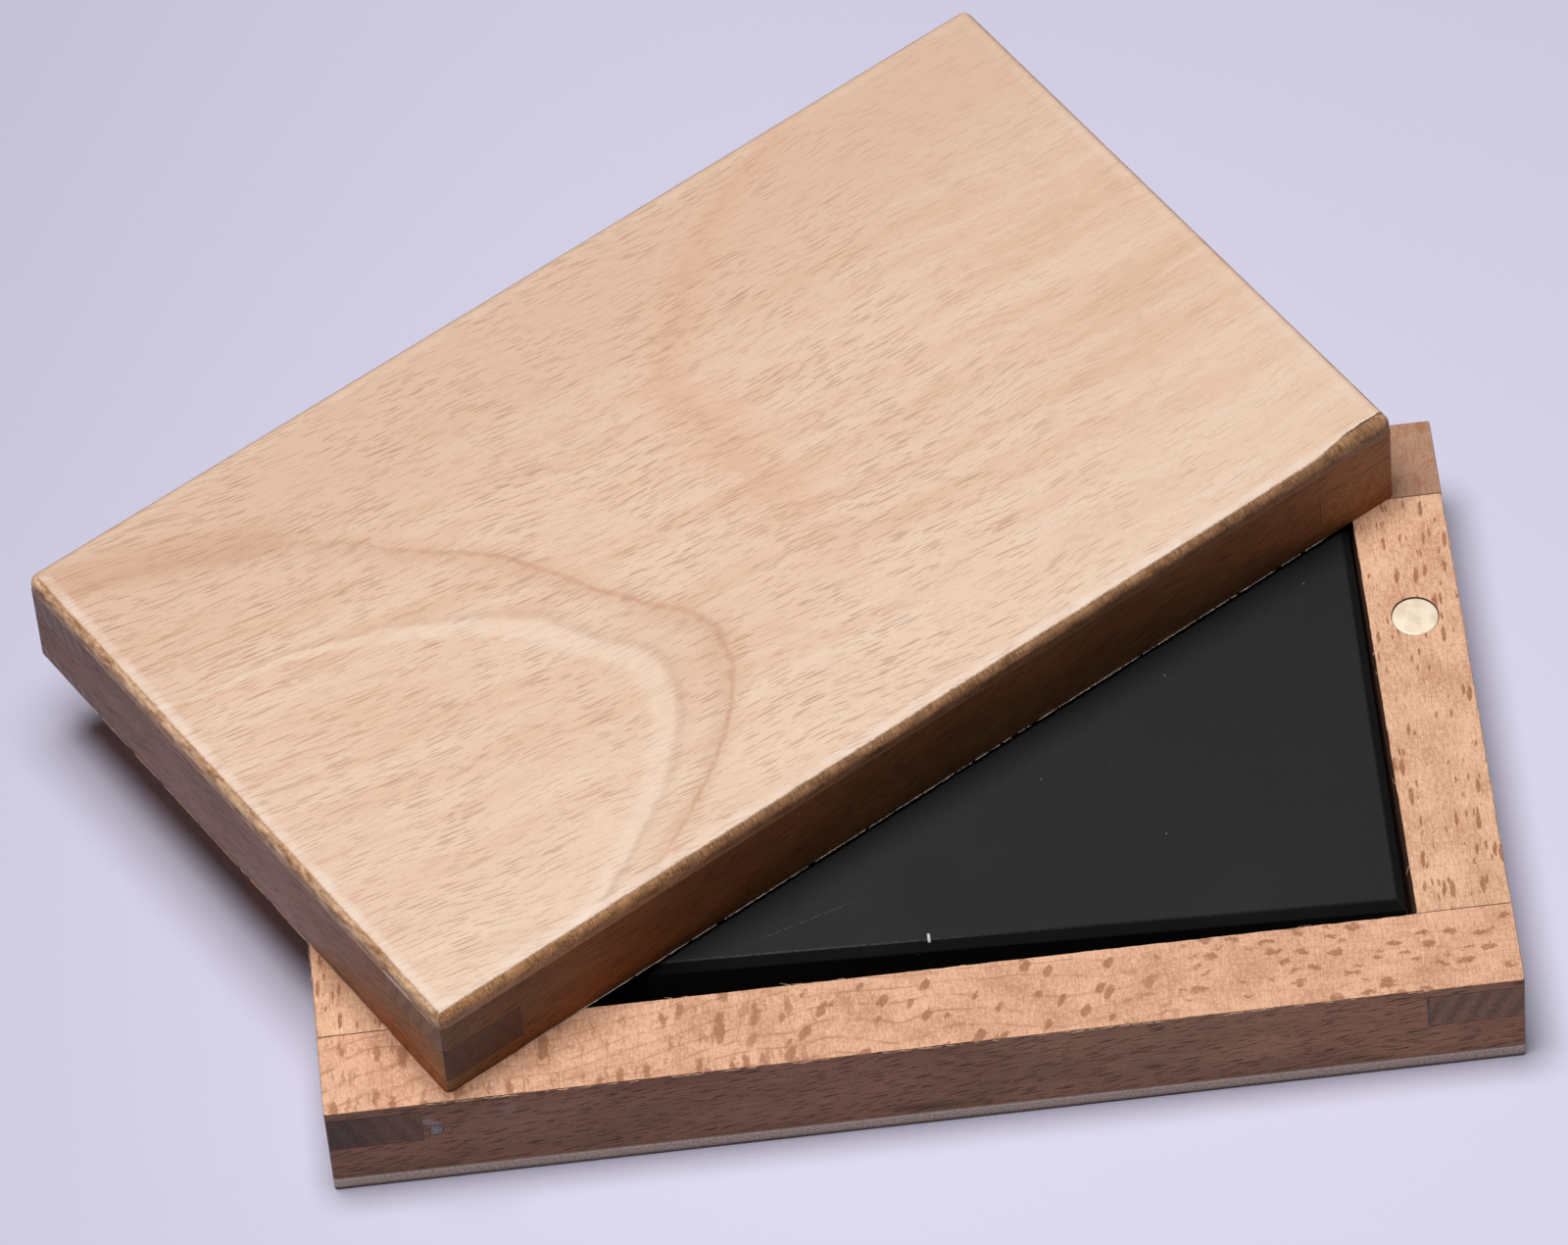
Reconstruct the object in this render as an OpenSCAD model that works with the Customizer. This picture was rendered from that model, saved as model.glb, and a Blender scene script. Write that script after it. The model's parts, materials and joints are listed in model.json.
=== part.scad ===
// Shallow finger-jointed wooden case that holds a flat black stone.
// Each half is a frame of four solid rails closed by a three-ply face. One pair of disc magnets
// in the left rails is the pivot that the lid swings on, and a second pair in the right rails
// catches it when it is closed.
// Millimetres. +X along the length, +Y to the back, +Z up.
// The origin is the centre of the base's underside.

/* [Case] */
// Length of the case
case_l = 150; // [110:1:220]
// Width of the case, front to back
case_w = 90; // [75:1:130]
// Width of every rail, seen from above
rail_w = 12; // [9:0.5:16]
// Height of the base's rails
base_rail_h = 13.5; // [10:0.5:22]
// Height of the lid's rails
lid_rail_h = 13.1; // [10:0.1:22]

/* [Corner joints] */
// Height of one finger of the glued corner joints
finger_h = 6; // [3.5:0.5:9]
// Wood lost where the glued-up case was sawn apart into base and lid
saw_kerf = 2; // [0.8:0.1:4]

/* [Plywood faces] */
// Thickness of a face's outer veneer
face_veneer_t = 0.5; // [0.3:0.1:1]
// Thickness of a face's cross-grain core
core_veneer_t = 1.5; // [1:0.1:3]
// Thickness of a face's inner veneer
inner_veneer_t = 0.5; // [0.3:0.1:1]
// Radius of the rounded outer edges of both faces
edge_r = 1.5; // [0.5:0.1:1.6]

/* [Magnets] */
// Diameter of the four disc magnets
magnet_d = 6; // [4:0.5:7]
// Thickness of the four disc magnets
magnet_h = 3; // [1.5:0.5:5]
// Depth of a magnet's face below the rim
magnet_sink = 0.1; // [0.05:0.05:0.5]
// Glue gap around a magnet in its pocket
magnet_gap = 0.1; // [0.05:0.05:0.3]
// Distance from the case's front to the centre of the pivot magnets
pivot_from_front = 28.5; // [20:0.5:45]
// Distance from the case's back to the centre of the catch magnets
catch_from_back = 31.4; // [20:0.1:45]

/* [Stone] */
// Gap between the stone and the rail at each end
stone_end_gap = 1; // [1:0.1:4]
// Gap between the stone's wider end and the rail at each side
stone_side_gap = 2; // [1.9:0.1:6]
// How much narrower the stone is at its left end, all of it lost from the front side
stone_taper = 3.1; // [0:0.1:6]
// Depth of the stone's top face below the rim
stone_drop = 0.8; // [0.2:0.1:4]
// Chamfer along the stone's front and back
stone_chamfer = 1.1; // [0.3:0.1:2]
// Chamfer along the stone's ends
stone_end_chamfer = 1; // [0.3:0.1:2]
// How far the stone's ends lie forward and back of square
stone_skew = 0.5; // [0:0.1:1.2]
// How far the stone lies right of the well's middle
stone_right = 0.3; // [0:0.1:0.4]
// How far the stone lies back of the well's middle
stone_back = 0.5; // [0:0.1:0.6]

/* [Filler] */
// Width of the filled dent beside the front left joint
dent_w = 2; // [1:0.1:4]
// Height of the filled dent, as a share of the finger beside it
dent_share = 0.4; // [0.2:0.05:0.8]
// Height of the dent's lower edge in that finger, as a share of it
dent_up_share = 0.1; // [0.05:0.05:0.2]
// Distance from the front left joint to the filled dent
dent_offset = 0.6; // [0.2:0.1:2]
// Width of the filled crack beside the front right joint
crack_w = 0.3; // [0.2:0.1:1]
// Depth of both fillings
filler_depth = 1.5; // [0.5:0.1:3]

/* [Pose] */
// Angle that the lid is swung open from closed
lid_turn = 31.1; // [0:0.1:120]

/* [Hidden] */
$fn = 96;

// A cut runs this far past the face that it opens
over = 1;

// Levels
ply_t = face_veneer_t + core_veneer_t + inner_veneer_t;
rim_z = ply_t + base_rail_h;
blank_h = base_rail_h + saw_kerf + lid_rail_h;
lid_cut_z = base_rail_h + saw_kerf;
finger_count = ceil(blank_h / finger_h);

// The well inside a frame of rails
well_l = case_l - 2 * rail_w;
well_w = case_w - 2 * rail_w;

// Magnet centres, on the middle line of the left and right rails
magnet_x = (case_l - rail_w) / 2;
pivot = [-magnet_x, pivot_from_front - case_w / 2];
catch = [magnet_x, case_w / 2 - catch_from_back];

// The stone, sized to its well and turned until its ends are out of square
stone_l = well_l - 2 * stone_end_gap;
stone_w = well_w - 2 * stone_side_gap;
stone_t = base_rail_h - stone_drop;
stone_turn = -asin(2 * stone_skew / stone_l);
taper_turn = -atan(stone_taper / stone_l);

// The second finger up, where a side rail's end shows on the front; the saw may cut it short
tongue_x = well_l / 2;
tongue_z = ply_t + finger_h;
tongue_h = min(finger_h, base_rail_h - finger_h);

// Finishes
beech = "#c08a66";
pale_veneer = "#dcbb8e";
brown_core = "#a87f4e";
nickel = "#d9d2bd";
stone_black = "#2b2b2c";
filler_grey = "#8d8781";

// ---------------------------------------------------------------- shared shapes

// A rail of the closed case, cut from its full height between two levels.
// It lies along X with its outer side on y = 0. Counting fingers from the bottom, it gives away
// both corners of every second finger, starting with first_given.
module sawn_rail(span, first_given, z_low, z_high) {
  difference() {
    translate([-span / 2, 0, z_low])
      cube([span, rail_w, z_high - z_low]);
    for (finger = [first_given : 2 : finger_count - 1])
      for (end = [-1, 1])
        translate([end * (span - rail_w + over) / 2, rail_w / 2, (finger + 0.5) * finger_h])
          cube([rail_w + over, rail_w + 2 * over, finger_h], center = true);
  }
}

// Front and back rails keep the first, third and fifth finger at the corners
module long_rail(z_low, z_high) {
  translate([0, -case_w / 2, 0])
    sawn_rail(case_l, 1, z_low, z_high);
}

// Left and right rails keep the second and fourth
module side_rail(z_low, z_high) {
  translate([case_l / 2, 0, 0])
    rotate(90)
      sawn_rail(case_w, 0, z_low, z_high);
}

// The waste outside a rounded edge that runs along Y, with the arc's centre at the origin
module edge_waste(length) {
  rotate([90, 0, 0])
    linear_extrude(length, center = true)
      difference() {
        square(edge_r + over);
        circle(edge_r);
      }
}

// A plywood face on z = 0, with its upper edges rounded
module rounded_face() {
  difference() {
    translate([-case_l / 2, -case_w / 2, 0])
      cube([case_l, case_w, ply_t]);
    for (turn = [0 : 90 : 270]) {
      across = turn % 180 == 0 ? case_l : case_w;
      rotate(turn)
        translate([across / 2 - edge_r, 0, ply_t - edge_r])
          edge_waste(case_l + 2 * over);
    }
  }
}

// One layer of that face, from its distance to the rails and its thickness
module ply_layer(start, thickness) {
  intersection() {
    rounded_face();
    translate([-case_l / 2 - over, -case_w / 2 - over, start])
      cube([case_l + 2 * over, case_w + 2 * over, thickness]);
  }
}

// A disc magnet below the level z = 0, sunk into a rim
module sunk_magnet() {
  translate([0, 0, -magnet_sink - magnet_h])
    cylinder(d = magnet_d, h = magnet_h);
}

// The pocket for that magnet
module magnet_pocket() {
  translate([0, 0, -magnet_sink - magnet_h])
    cylinder(d = magnet_d + 2 * magnet_gap, h = magnet_h + magnet_sink + over);
}

// A bar along Y on z = 0, with its four long edges chamfered
module chamfered_bar(width, length, chamfer) {
  rotate([90, 0, 0])
    linear_extrude(length, center = true)
      polygon([
        [chamfer - width / 2, 0],
        [width / 2 - chamfer, 0],
        [width / 2, chamfer],
        [width / 2, stone_t - chamfer],
        [width / 2 - chamfer, stone_t],
        [chamfer - width / 2, stone_t],
        [-width / 2, stone_t - chamfer],
        [-width / 2, chamfer]
      ]);
}

// The stone on z = 0: one bar shapes its ends, one its back and one its tapered front
module chamfered_slab() {
  intersection() {
    chamfered_bar(stone_l, 3 * stone_w, stone_end_chamfer);
    translate([0, -stone_w / 2, 0])
      rotate(90)
        chamfered_bar(2 * stone_w, 3 * stone_l, stone_chamfer);
    translate([stone_l / 2, -stone_w / 2, 0])
      rotate(90 + taper_turn)
        translate([stone_w, 0, 0])
          chamfered_bar(2 * stone_w, 3 * stone_l, stone_chamfer);
  }
}

// ---------------------------------------------------------------- placing

// Rails, from the blank's own level to their place in the base
module in_base_frame() {
  translate([0, 0, ply_t])
    children();
}

// The same for the lid, which closes up the saw's kerf
module in_lid_frame() {
  swung_open()
    translate([0, 0, ply_t - saw_kerf])
      children();
}

// The base's face lies upside down, with its rounded edges on the surface below
module in_base_face() {
  translate([0, 0, ply_t])
    mirror([0, 0, 1])
      children();
}

module in_lid_face() {
  swung_open()
    translate([0, 0, rim_z + lid_rail_h])
      children();
}

// The lid swings about the pivot magnets
module swung_open() {
  translate([pivot.x, pivot.y, 0])
    rotate(lid_turn)
      translate([-pivot.x, -pivot.y, 0])
        children();
}

// On the base's rim, at a magnet's centre
module on_base_rim(centre) {
  translate([centre.x, centre.y, rim_z])
    children();
}

// On the lid's rim, which faces down
module on_lid_rim(centre) {
  swung_open()
    translate([centre.x, centre.y, rim_z])
      mirror([0, 0, 1])
        children();
}

// Fillings in the front rail's outer side: a dent beside the left joint, and a crack along the
// right one
module filler_shapes() {
  translate([dent_offset - tongue_x, -case_w / 2, tongue_z + tongue_h * dent_up_share])
    cube([dent_w, filler_depth, tongue_h * dent_share]);
  translate([tongue_x - crack_w, -case_w / 2, tongue_z])
    cube([crack_w, filler_depth, tongue_h]);
}

// ---------------------------------------------------------------- base

module base_front_rail() {
  color(beech)
    difference() {
      in_base_frame()
        long_rail(0, base_rail_h);
      filler_shapes();
    }
}

module base_back_rail() {
  color(beech)
    in_base_frame()
      rotate(180)
        long_rail(0, base_rail_h);
}

module base_left_rail() {
  color(beech)
    difference() {
      in_base_frame()
        rotate(180)
          side_rail(0, base_rail_h);
      on_base_rim(pivot)
        magnet_pocket();
    }
}

module base_right_rail() {
  color(beech)
    difference() {
      in_base_frame()
        side_rail(0, base_rail_h);
      on_base_rim(catch)
        magnet_pocket();
    }
}

module base_face_veneer() {
  color(pale_veneer)
    in_base_face()
      ply_layer(inner_veneer_t + core_veneer_t, face_veneer_t);
}

module base_core_veneer() {
  color(brown_core)
    in_base_face()
      ply_layer(inner_veneer_t, core_veneer_t);
}

module base_inner_veneer() {
  color(pale_veneer)
    in_base_face()
      ply_layer(0, inner_veneer_t);
}

module base_pivot_magnet() {
  color(nickel)
    on_base_rim(pivot)
      sunk_magnet();
}

module base_catch_magnet() {
  color(nickel)
    on_base_rim(catch)
      sunk_magnet();
}

module joint_filler() {
  color(filler_grey)
    filler_shapes();
}

module stone_slab() {
  color(stone_black)
    translate([stone_right, stone_back, ply_t])
      rotate(stone_turn)
        chamfered_slab();
}

// ---------------------------------------------------------------- lid

module lid_front_rail() {
  color(beech)
    in_lid_frame()
      long_rail(lid_cut_z, blank_h);
}

module lid_back_rail() {
  color(beech)
    in_lid_frame()
      rotate(180)
        long_rail(lid_cut_z, blank_h);
}

module lid_left_rail() {
  color(beech)
    difference() {
      in_lid_frame()
        rotate(180)
          side_rail(lid_cut_z, blank_h);
      on_lid_rim(pivot)
        magnet_pocket();
    }
}

module lid_right_rail() {
  color(beech)
    difference() {
      in_lid_frame()
        side_rail(lid_cut_z, blank_h);
      on_lid_rim(catch)
        magnet_pocket();
    }
}

module lid_face_veneer() {
  color(pale_veneer)
    in_lid_face()
      ply_layer(inner_veneer_t + core_veneer_t, face_veneer_t);
}

module lid_core_veneer() {
  color(brown_core)
    in_lid_face()
      ply_layer(inner_veneer_t, core_veneer_t);
}

module lid_inner_veneer() {
  color(pale_veneer)
    in_lid_face()
      ply_layer(0, inner_veneer_t);
}

module lid_pivot_magnet() {
  color(nickel)
    on_lid_rim(pivot)
      sunk_magnet();
}

module lid_catch_magnet() {
  color(nickel)
    on_lid_rim(catch)
      sunk_magnet();
}

base_front_rail();
base_back_rail();
base_left_rail();
base_right_rail();
base_face_veneer();
base_core_veneer();
base_inner_veneer();
base_pivot_magnet();
base_catch_magnet();
joint_filler();
stone_slab();
lid_front_rail();
lid_back_rail();
lid_left_rail();
lid_right_rail();
lid_face_veneer();
lid_core_veneer();
lid_inner_veneer();
lid_pivot_magnet();
lid_catch_magnet();
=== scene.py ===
"""Looks for a shallow finger-jointed wooden case with a swivel lid and a flat black stone."""

import json
import logging
import math
import random
from dataclasses import dataclass
from enum import Enum
from functools import partial, reduce

import bmesh
import bpy
from mathutils import Matrix, Vector, noise


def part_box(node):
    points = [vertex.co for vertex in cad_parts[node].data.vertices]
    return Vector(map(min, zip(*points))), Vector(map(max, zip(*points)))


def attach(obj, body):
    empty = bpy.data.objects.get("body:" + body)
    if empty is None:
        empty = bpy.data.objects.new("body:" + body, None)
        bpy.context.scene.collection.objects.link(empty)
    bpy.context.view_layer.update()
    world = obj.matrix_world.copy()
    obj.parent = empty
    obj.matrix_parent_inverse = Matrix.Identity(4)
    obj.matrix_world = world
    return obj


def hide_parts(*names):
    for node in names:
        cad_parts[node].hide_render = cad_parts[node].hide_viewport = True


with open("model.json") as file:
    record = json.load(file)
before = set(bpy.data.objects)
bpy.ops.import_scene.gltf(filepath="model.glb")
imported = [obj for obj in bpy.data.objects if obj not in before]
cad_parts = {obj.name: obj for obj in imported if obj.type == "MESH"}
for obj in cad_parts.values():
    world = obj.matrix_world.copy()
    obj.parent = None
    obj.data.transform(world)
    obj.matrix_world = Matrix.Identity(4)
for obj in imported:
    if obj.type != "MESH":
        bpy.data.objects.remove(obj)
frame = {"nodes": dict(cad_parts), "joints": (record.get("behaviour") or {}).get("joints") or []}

MM = 0.001
WELD = 0.0001 * MM
LEVEL = 0.001 * MM
NEAR = 0.1 * MM
LOG = logging.getLogger("case")

Socket = bpy.types.NodeSocket
Feed = float | tuple[float, ...] | Socket
Colour = tuple[float, float, float]
Stops = tuple[tuple[float, Colour], ...]


class Half(Enum):
    """The two halves that the glued case was sawn into."""

    BASE = "base"
    LID = "lid"

    @property
    def rim_up(self) -> float:
        """Give 1 where the rim faces up, and -1 where it faces down."""
        return 1.0 if self is Half.BASE else -1.0


class Side(Enum):
    """A rail's place in its frame, as quarter turns from the front."""

    FRONT = 0
    RIGHT = 1
    BACK = 2
    LEFT = 3

    @property
    def is_long(self) -> bool:
        """Say whether the rail runs along the case."""
        return self in (Side.FRONT, Side.BACK)

    @property
    def turn(self) -> Matrix:
        """Give the transform from a rail lying along X, outer side to the front, to its place."""
        return Matrix.Rotation(self.value * math.pi / 2, 4, "Z")


class Cut(Enum):
    """How a face of a rail was cut, as its cut attribute says it."""

    RIM = 0.0
    SIDE = 1.0
    END = 2.0
    WELL = 3.0
    FIBRE = 4.0


def shade(red: int, green: int, blue: int) -> Colour:
    """Turn a display colour into the linear one that a shader takes.

    Args:
        red: Red from 0 to 255.
        green: Green from 0 to 255.
        blue: Blue from 0 to 255.

    Returns:
        The linear colour.
    """
    parts = (c / 255 for c in (red, green, blue))
    return tuple(c / 12.92 if c <= 0.04045 else ((c + 0.055) / 1.055) ** 2.4 for c in parts)


# ---------------------------------------------------------------- sizes


@dataclass(frozen=True)
class CaseLayout:
    """The case's sizes and levels in metres, with its lid swung closed."""

    length: float
    width: float
    rail_width: float
    underside_z: float
    base_floor_z: float
    rim_z: float
    lid_ceiling_z: float
    top_z: float
    pivot: Vector
    lid_turn: float
    finger: float = 6.0 * MM
    kerf: float = 2.0 * MM

    @classmethod
    def from_frame(cls, joints: list[dict]) -> "CaseLayout":
        """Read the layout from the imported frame.

        Args:
            joints: The frame's joints.

        Returns:
            The layout.
        """
        low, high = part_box("base_front_rail")
        swivel = next(joint for joint in joints if joint["name"] == "lid_swivel")
        return cls(
            length=high.x - low.x,
            width=-2 * low.y,
            rail_width=high.y - low.y,
            underside_z=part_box("base_face_veneer")[0].z,
            base_floor_z=low.z,
            rim_z=high.z,
            lid_ceiling_z=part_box("lid_front_rail")[1].z,
            top_z=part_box("lid_face_veneer")[1].z,
            pivot=Vector(swivel["pos_m"]),
            lid_turn=-math.radians(swivel["range_deg"][0]),
        )

    def rail_levels(self, half: Half) -> tuple[float, float]:
        """Give the lowest and highest level of a half's rails.

        Args:
            half: The half.

        Returns:
            Both levels, in metres.
        """
        if half is Half.BASE:
            return self.base_floor_z, self.rim_z
        return self.rim_z, self.lid_ceiling_z

    def blank_level(self, half: Half) -> float:
        """Give the level that the fingers are counted from."""
        return self.base_floor_z - (self.kerf if half is Half.LID else 0.0)

    def swing(self, half: Half) -> Matrix:
        """Give the transform from the closed case to the half's place at rest.

        Args:
            half: The half.

        Returns:
            The transform.
        """
        if half is Half.BASE:
            return Matrix.Identity(4)
        here = Matrix.Translation(self.pivot)
        return here @ Matrix.Rotation(self.lid_turn, 4, "Z") @ here.inverted()


# ---------------------------------------------------------------- mesh work


class Bench:
    """Shared mesh steps, all made of bmesh operators."""

    @staticmethod
    def block(low: Vector, high: Vector) -> bmesh.types.BMesh:
        """Make a box between two corners.

        Args:
            low: Lowest corner.
            high: Highest corner.

        Returns:
            A new bmesh with the box.
        """
        bm = bmesh.new()
        size, centre = high - low, (high + low) / 2
        matrix = Matrix.Translation(centre) @ Matrix.Diagonal((*size, 1.0))
        bmesh.ops.create_cube(bm, size=1.0, matrix=matrix)
        return bm

    @staticmethod
    def slice(bm: bmesh.types.BMesh, level: float, axis: int, keep: int = 0) -> None:
        """Cut a mesh across an axis.

        Args:
            bm: The mesh.
            level: Where the cut lies on the axis.
            axis: 0, 1 or 2 for X, Y or Z.
            keep: 0 keeps both parts, 1 the upper one and -1 the lower one, closed at the cut.
        """
        normal = Vector([1.0 if i == axis else 0.0 for i in range(3)])
        made = bmesh.ops.bisect_plane(
            bm,
            geom=bm.verts[:] + bm.edges[:] + bm.faces[:],
            dist=WELD,
            plane_co=normal * level,
            plane_no=normal,
            clear_inner=keep == 1,
            clear_outer=keep == -1,
        )
        if keep:
            rim = [e for e in made["geom_cut"] if isinstance(e, bmesh.types.BMEdge)]
            bmesh.ops.holes_fill(bm, edges=rim, sides=0)

    @staticmethod
    def grow(bm: bmesh.types.BMesh, face: bmesh.types.BMFace, run: Vector) -> None:
        """Draw a face out.

        Args:
            bm: The mesh.
            face: The face, which stays where it is.
            run: How far its copy goes.
        """
        grown = bmesh.ops.extrude_face_region(bm, geom=[face])["geom"]
        verts = [v for v in grown if isinstance(v, bmesh.types.BMVert)]
        bmesh.ops.translate(bm, vec=run, verts=verts)

    @staticmethod
    def rise(edge: bmesh.types.BMEdge) -> float:
        """Give how far one end of an edge lies above the other."""
        return abs(edge.verts[0].co.z - edge.verts[1].co.z)

    @staticmethod
    def sharp_edges(bm: bmesh.types.BMesh, angle: float = 30.0) -> list[bmesh.types.BMEdge]:
        """Find the edges that fold by more than an angle in degrees."""
        limit = math.radians(angle)
        return [e for e in bm.edges if e.is_manifold and e.calc_face_angle(0.0) > limit]

    @staticmethod
    def ease(
        bm: bmesh.types.BMesh, edges: list[bmesh.types.BMEdge], width: float, segments: int = 2
    ) -> list[bmesh.types.BMFace]:
        """Round some edges.

        Args:
            bm: The mesh.
            edges: The edges to round.
            width: Width of the rounding along each face.
            segments: Steps across it.

        Returns:
            The rounding's faces.
        """
        made = bmesh.ops.bevel(
            bm,
            geom=edges,
            offset=width,
            offset_type="OFFSET",
            segments=segments,
            profile=0.5,
            affect="EDGES",
            material=-1,
            clamp_overlap=True,
        )
        return made["faces"]

    @staticmethod
    def finish(
        bm: bmesh.types.BMesh,
        name: str,
        place: Matrix,
        material: bpy.types.Material,
        smooth_angle: float = 35.0,
    ) -> bpy.types.Object:
        """Turn a bmesh into an object at the origin.

        Args:
            bm: The mesh, which is freed.
            name: The piece's name.
            place: Where the mesh goes.
            material: The piece's finish.
            smooth_angle: Faces that fold less than this many degrees are shaded smooth.

        Returns:
            The object.
        """
        bmesh.ops.transform(bm, matrix=place, verts=bm.verts)
        bmesh.ops.recalc_face_normals(bm, faces=bm.faces)
        limit = math.radians(smooth_angle)
        for face in bm.faces:
            face.smooth = True
        for edge in bm.edges:
            edge.smooth = not edge.is_manifold or edge.calc_face_angle(0.0) < limit
        mesh = bpy.data.meshes.new(name)
        bm.to_mesh(mesh)
        bm.free()
        mesh.materials.append(material)
        piece = bpy.data.objects.new(name, mesh)
        bpy.context.scene.collection.objects.link(piece)
        return piece


# ---------------------------------------------------------------- node work


@dataclass(frozen=True)
class Marks:
    """How short marks are scattered: the cell that each lies in, how many cells hold one, and its size."""

    length: float
    width: float
    share: float
    radius: float = 0.22
    shuffled: bool = False


@dataclass(frozen=True)
class Board:
    """A piece's coordinates in millimetres: along it, across it, up, and all three at once."""

    along: Socket
    across: Socket
    height: Socket
    place: Socket


class Recipe:
    """A material's node tree, with short calls for the nodes that the finishes share."""

    mark_taper = 0.45
    mark_edge = (0.07, -0.05)
    row_slide = 9.0

    def __init__(self, name: str, roughness: float, specular: float = 0.3) -> None:
        """Start a material.

        Args:
            name: Name of the material.
            roughness: Its roughness, until a pattern sets it.
            specular: Its specular level.
        """
        self.material = bpy.data.materials.new(name)
        self.material.use_nodes = True
        self.tree = self.material.node_tree
        self.tree.nodes.clear()
        self.shader = self.node("ShaderNodeBsdfPrincipled")
        self.shader.inputs["Roughness"].default_value = roughness
        self.shader.inputs["Specular IOR Level"].default_value = specular
        output = self.node("ShaderNodeOutputMaterial")
        self.tree.links.new(self.shader.outputs["BSDF"], output.inputs["Surface"])

    def node(self, kind: str, **settings: object) -> bpy.types.Node:
        """Add a node and set its properties.

        Args:
            kind: The node's type.
            settings: Its properties, by name.

        Returns:
            The node.
        """
        made = self.tree.nodes.new(kind)
        for key, value in settings.items():
            setattr(made, key, value)
        return made

    def feed(self, socket: Socket, value: Feed) -> None:
        """Link a socket, or set its value.

        Args:
            socket: The input.
            value: Another node's output, a number or a tuple.
        """
        if isinstance(value, bpy.types.NodeSocket):
            self.tree.links.new(value, socket)
        elif isinstance(value, tuple) and socket.type == "RGBA" and len(value) == 3:
            socket.default_value = (*value, 1.0)
        else:
            socket.default_value = value

    def board(self, origin: Vector = Vector(), turn: float = 0.0) -> Board:
        """Give the piece's coordinates in millimetres.

        Args:
            origin: Where the pattern's zero lies.
            turn: How far the pattern is turned about Z, in radians.

        Returns:
            The coordinates.
        """
        mapping = self.node("ShaderNodeMapping", vector_type="TEXTURE")
        self.feed(mapping.inputs["Vector"], self.node("ShaderNodeTexCoord").outputs["Object"])
        mapping.inputs["Location"].default_value = origin
        mapping.inputs["Rotation"].default_value = (0.0, 0.0, turn)
        mapping.inputs["Scale"].default_value = (MM, MM, MM)
        place = mapping.outputs["Vector"]
        return Board(*self.split(place), place)

    def split(self, vector: Socket) -> tuple[Socket, Socket, Socket]:
        """Take a vector apart.

        Args:
            vector: The vector.

        Returns:
            Its X, Y and Z.
        """
        made = self.node("ShaderNodeSeparateXYZ")
        self.feed(made.inputs["Vector"], vector)
        return made.outputs["X"], made.outputs["Y"], made.outputs["Z"]

    def join(self, x: Feed, y: Feed, z: Feed = 0.0) -> Socket:
        """Put a vector together.

        Args:
            x: Its X.
            y: Its Y.
            z: Its Z.

        Returns:
            The vector.
        """
        made = self.node("ShaderNodeCombineXYZ")
        for socket, value in zip(made.inputs, (x, y, z)):
            self.feed(socket, value)
        return made.outputs["Vector"]

    def maths(self, operation: str, a: Feed, b: Feed = 0.0) -> Socket:
        """Combine two numbers.

        Args:
            operation: What to do with them.
            a: First number.
            b: Second number, where it takes one.

        Returns:
            The result.
        """
        made = self.node("ShaderNodeMath", operation=operation)
        self.feed(made.inputs[0], a)
        self.feed(made.inputs[1], b)
        return made.outputs["Value"]

    def add(self, *values: Feed) -> Socket:
        """Add numbers."""
        return reduce(partial(self.maths, "ADD"), values)

    def take(self, a: Feed, b: Feed) -> Socket:
        """Take the second number from the first."""
        return self.maths("SUBTRACT", a, b)

    def times(self, *values: Feed) -> Socket:
        """Multiply numbers."""
        return reduce(partial(self.maths, "MULTIPLY"), values)

    def most(self, *values: Feed) -> Socket:
        """Give the largest number."""
        return reduce(partial(self.maths, "MAXIMUM"), values)

    def weigh(self, *parts: tuple[Feed, float]) -> Socket:
        """Add numbers, each times its weight."""
        return self.add(*(self.times(value, weight) for value, weight in parts))

    def stretch(self, vector: Socket, x: float, y: float, z: float) -> Socket:
        """Scale a vector by a number on each axis.

        Args:
            vector: The vector.
            x: Scale on X.
            y: Scale on Y.
            z: Scale on Z.

        Returns:
            The scaled vector.
        """
        made = self.node("ShaderNodeVectorMath", operation="MULTIPLY")
        self.feed(made.inputs[0], vector)
        made.inputs[1].default_value = (x, y, z)
        return made.outputs["Vector"]

    def fade(self, value: Feed, start: float, end: float, low: float = 0.0, high: float = 1.0) -> Socket:
        """Ramp a number smoothly.

        Args:
            value: The number.
            start: Where the ramp starts.
            end: Where it ends. It may lie below start.
            low: Result at the start.
            high: Result at the end.

        Returns:
            The ramped number.
        """
        made = self.node("ShaderNodeMapRange", interpolation_type="SMOOTHSTEP")
        if start > end:
            start, end, low, high = end, start, high, low
        for socket, number in zip(made.inputs[:5], (value, start, end, low, high)):
            self.feed(socket, number)
        return made.outputs["Result"]

    def band(self, value: Socket, centre: float, half: float, soft: float) -> Socket:
        """Give 1 near a value and 0 away from it.

        Args:
            value: The number.
            centre: Middle of the band.
            half: Half its width.
            soft: Width of its soft edge.

        Returns:
            The band.
        """
        return self.fade(self.maths("ABSOLUTE", self.take(value, centre)), half + soft, half)

    def cloud(
        self,
        vector: Socket,
        scale: float | tuple[float, float, float] = 1.0,
        detail: float = 2.0,
        roughness: float = 0.5,
        twist: float = 0.0,
    ) -> Socket:
        """Give soft noise round 0.5.

        Args:
            vector: Coordinates.
            scale: How fine it is, on all axes or on each.
            detail: How many finer layers it has.
            roughness: How strong they are.
            twist: How far it is twisted.

        Returns:
            The noise.
        """
        if isinstance(scale, tuple):
            vector, scale = self.stretch(vector, *scale), 1.0
        made = self.node("ShaderNodeTexNoise")
        self.feed(made.inputs["Vector"], vector)
        made.inputs["Scale"].default_value = scale
        made.inputs["Detail"].default_value = detail
        made.inputs["Roughness"].default_value = roughness
        made.inputs["Distortion"].default_value = twist
        return made.outputs["Fac"]

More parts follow.
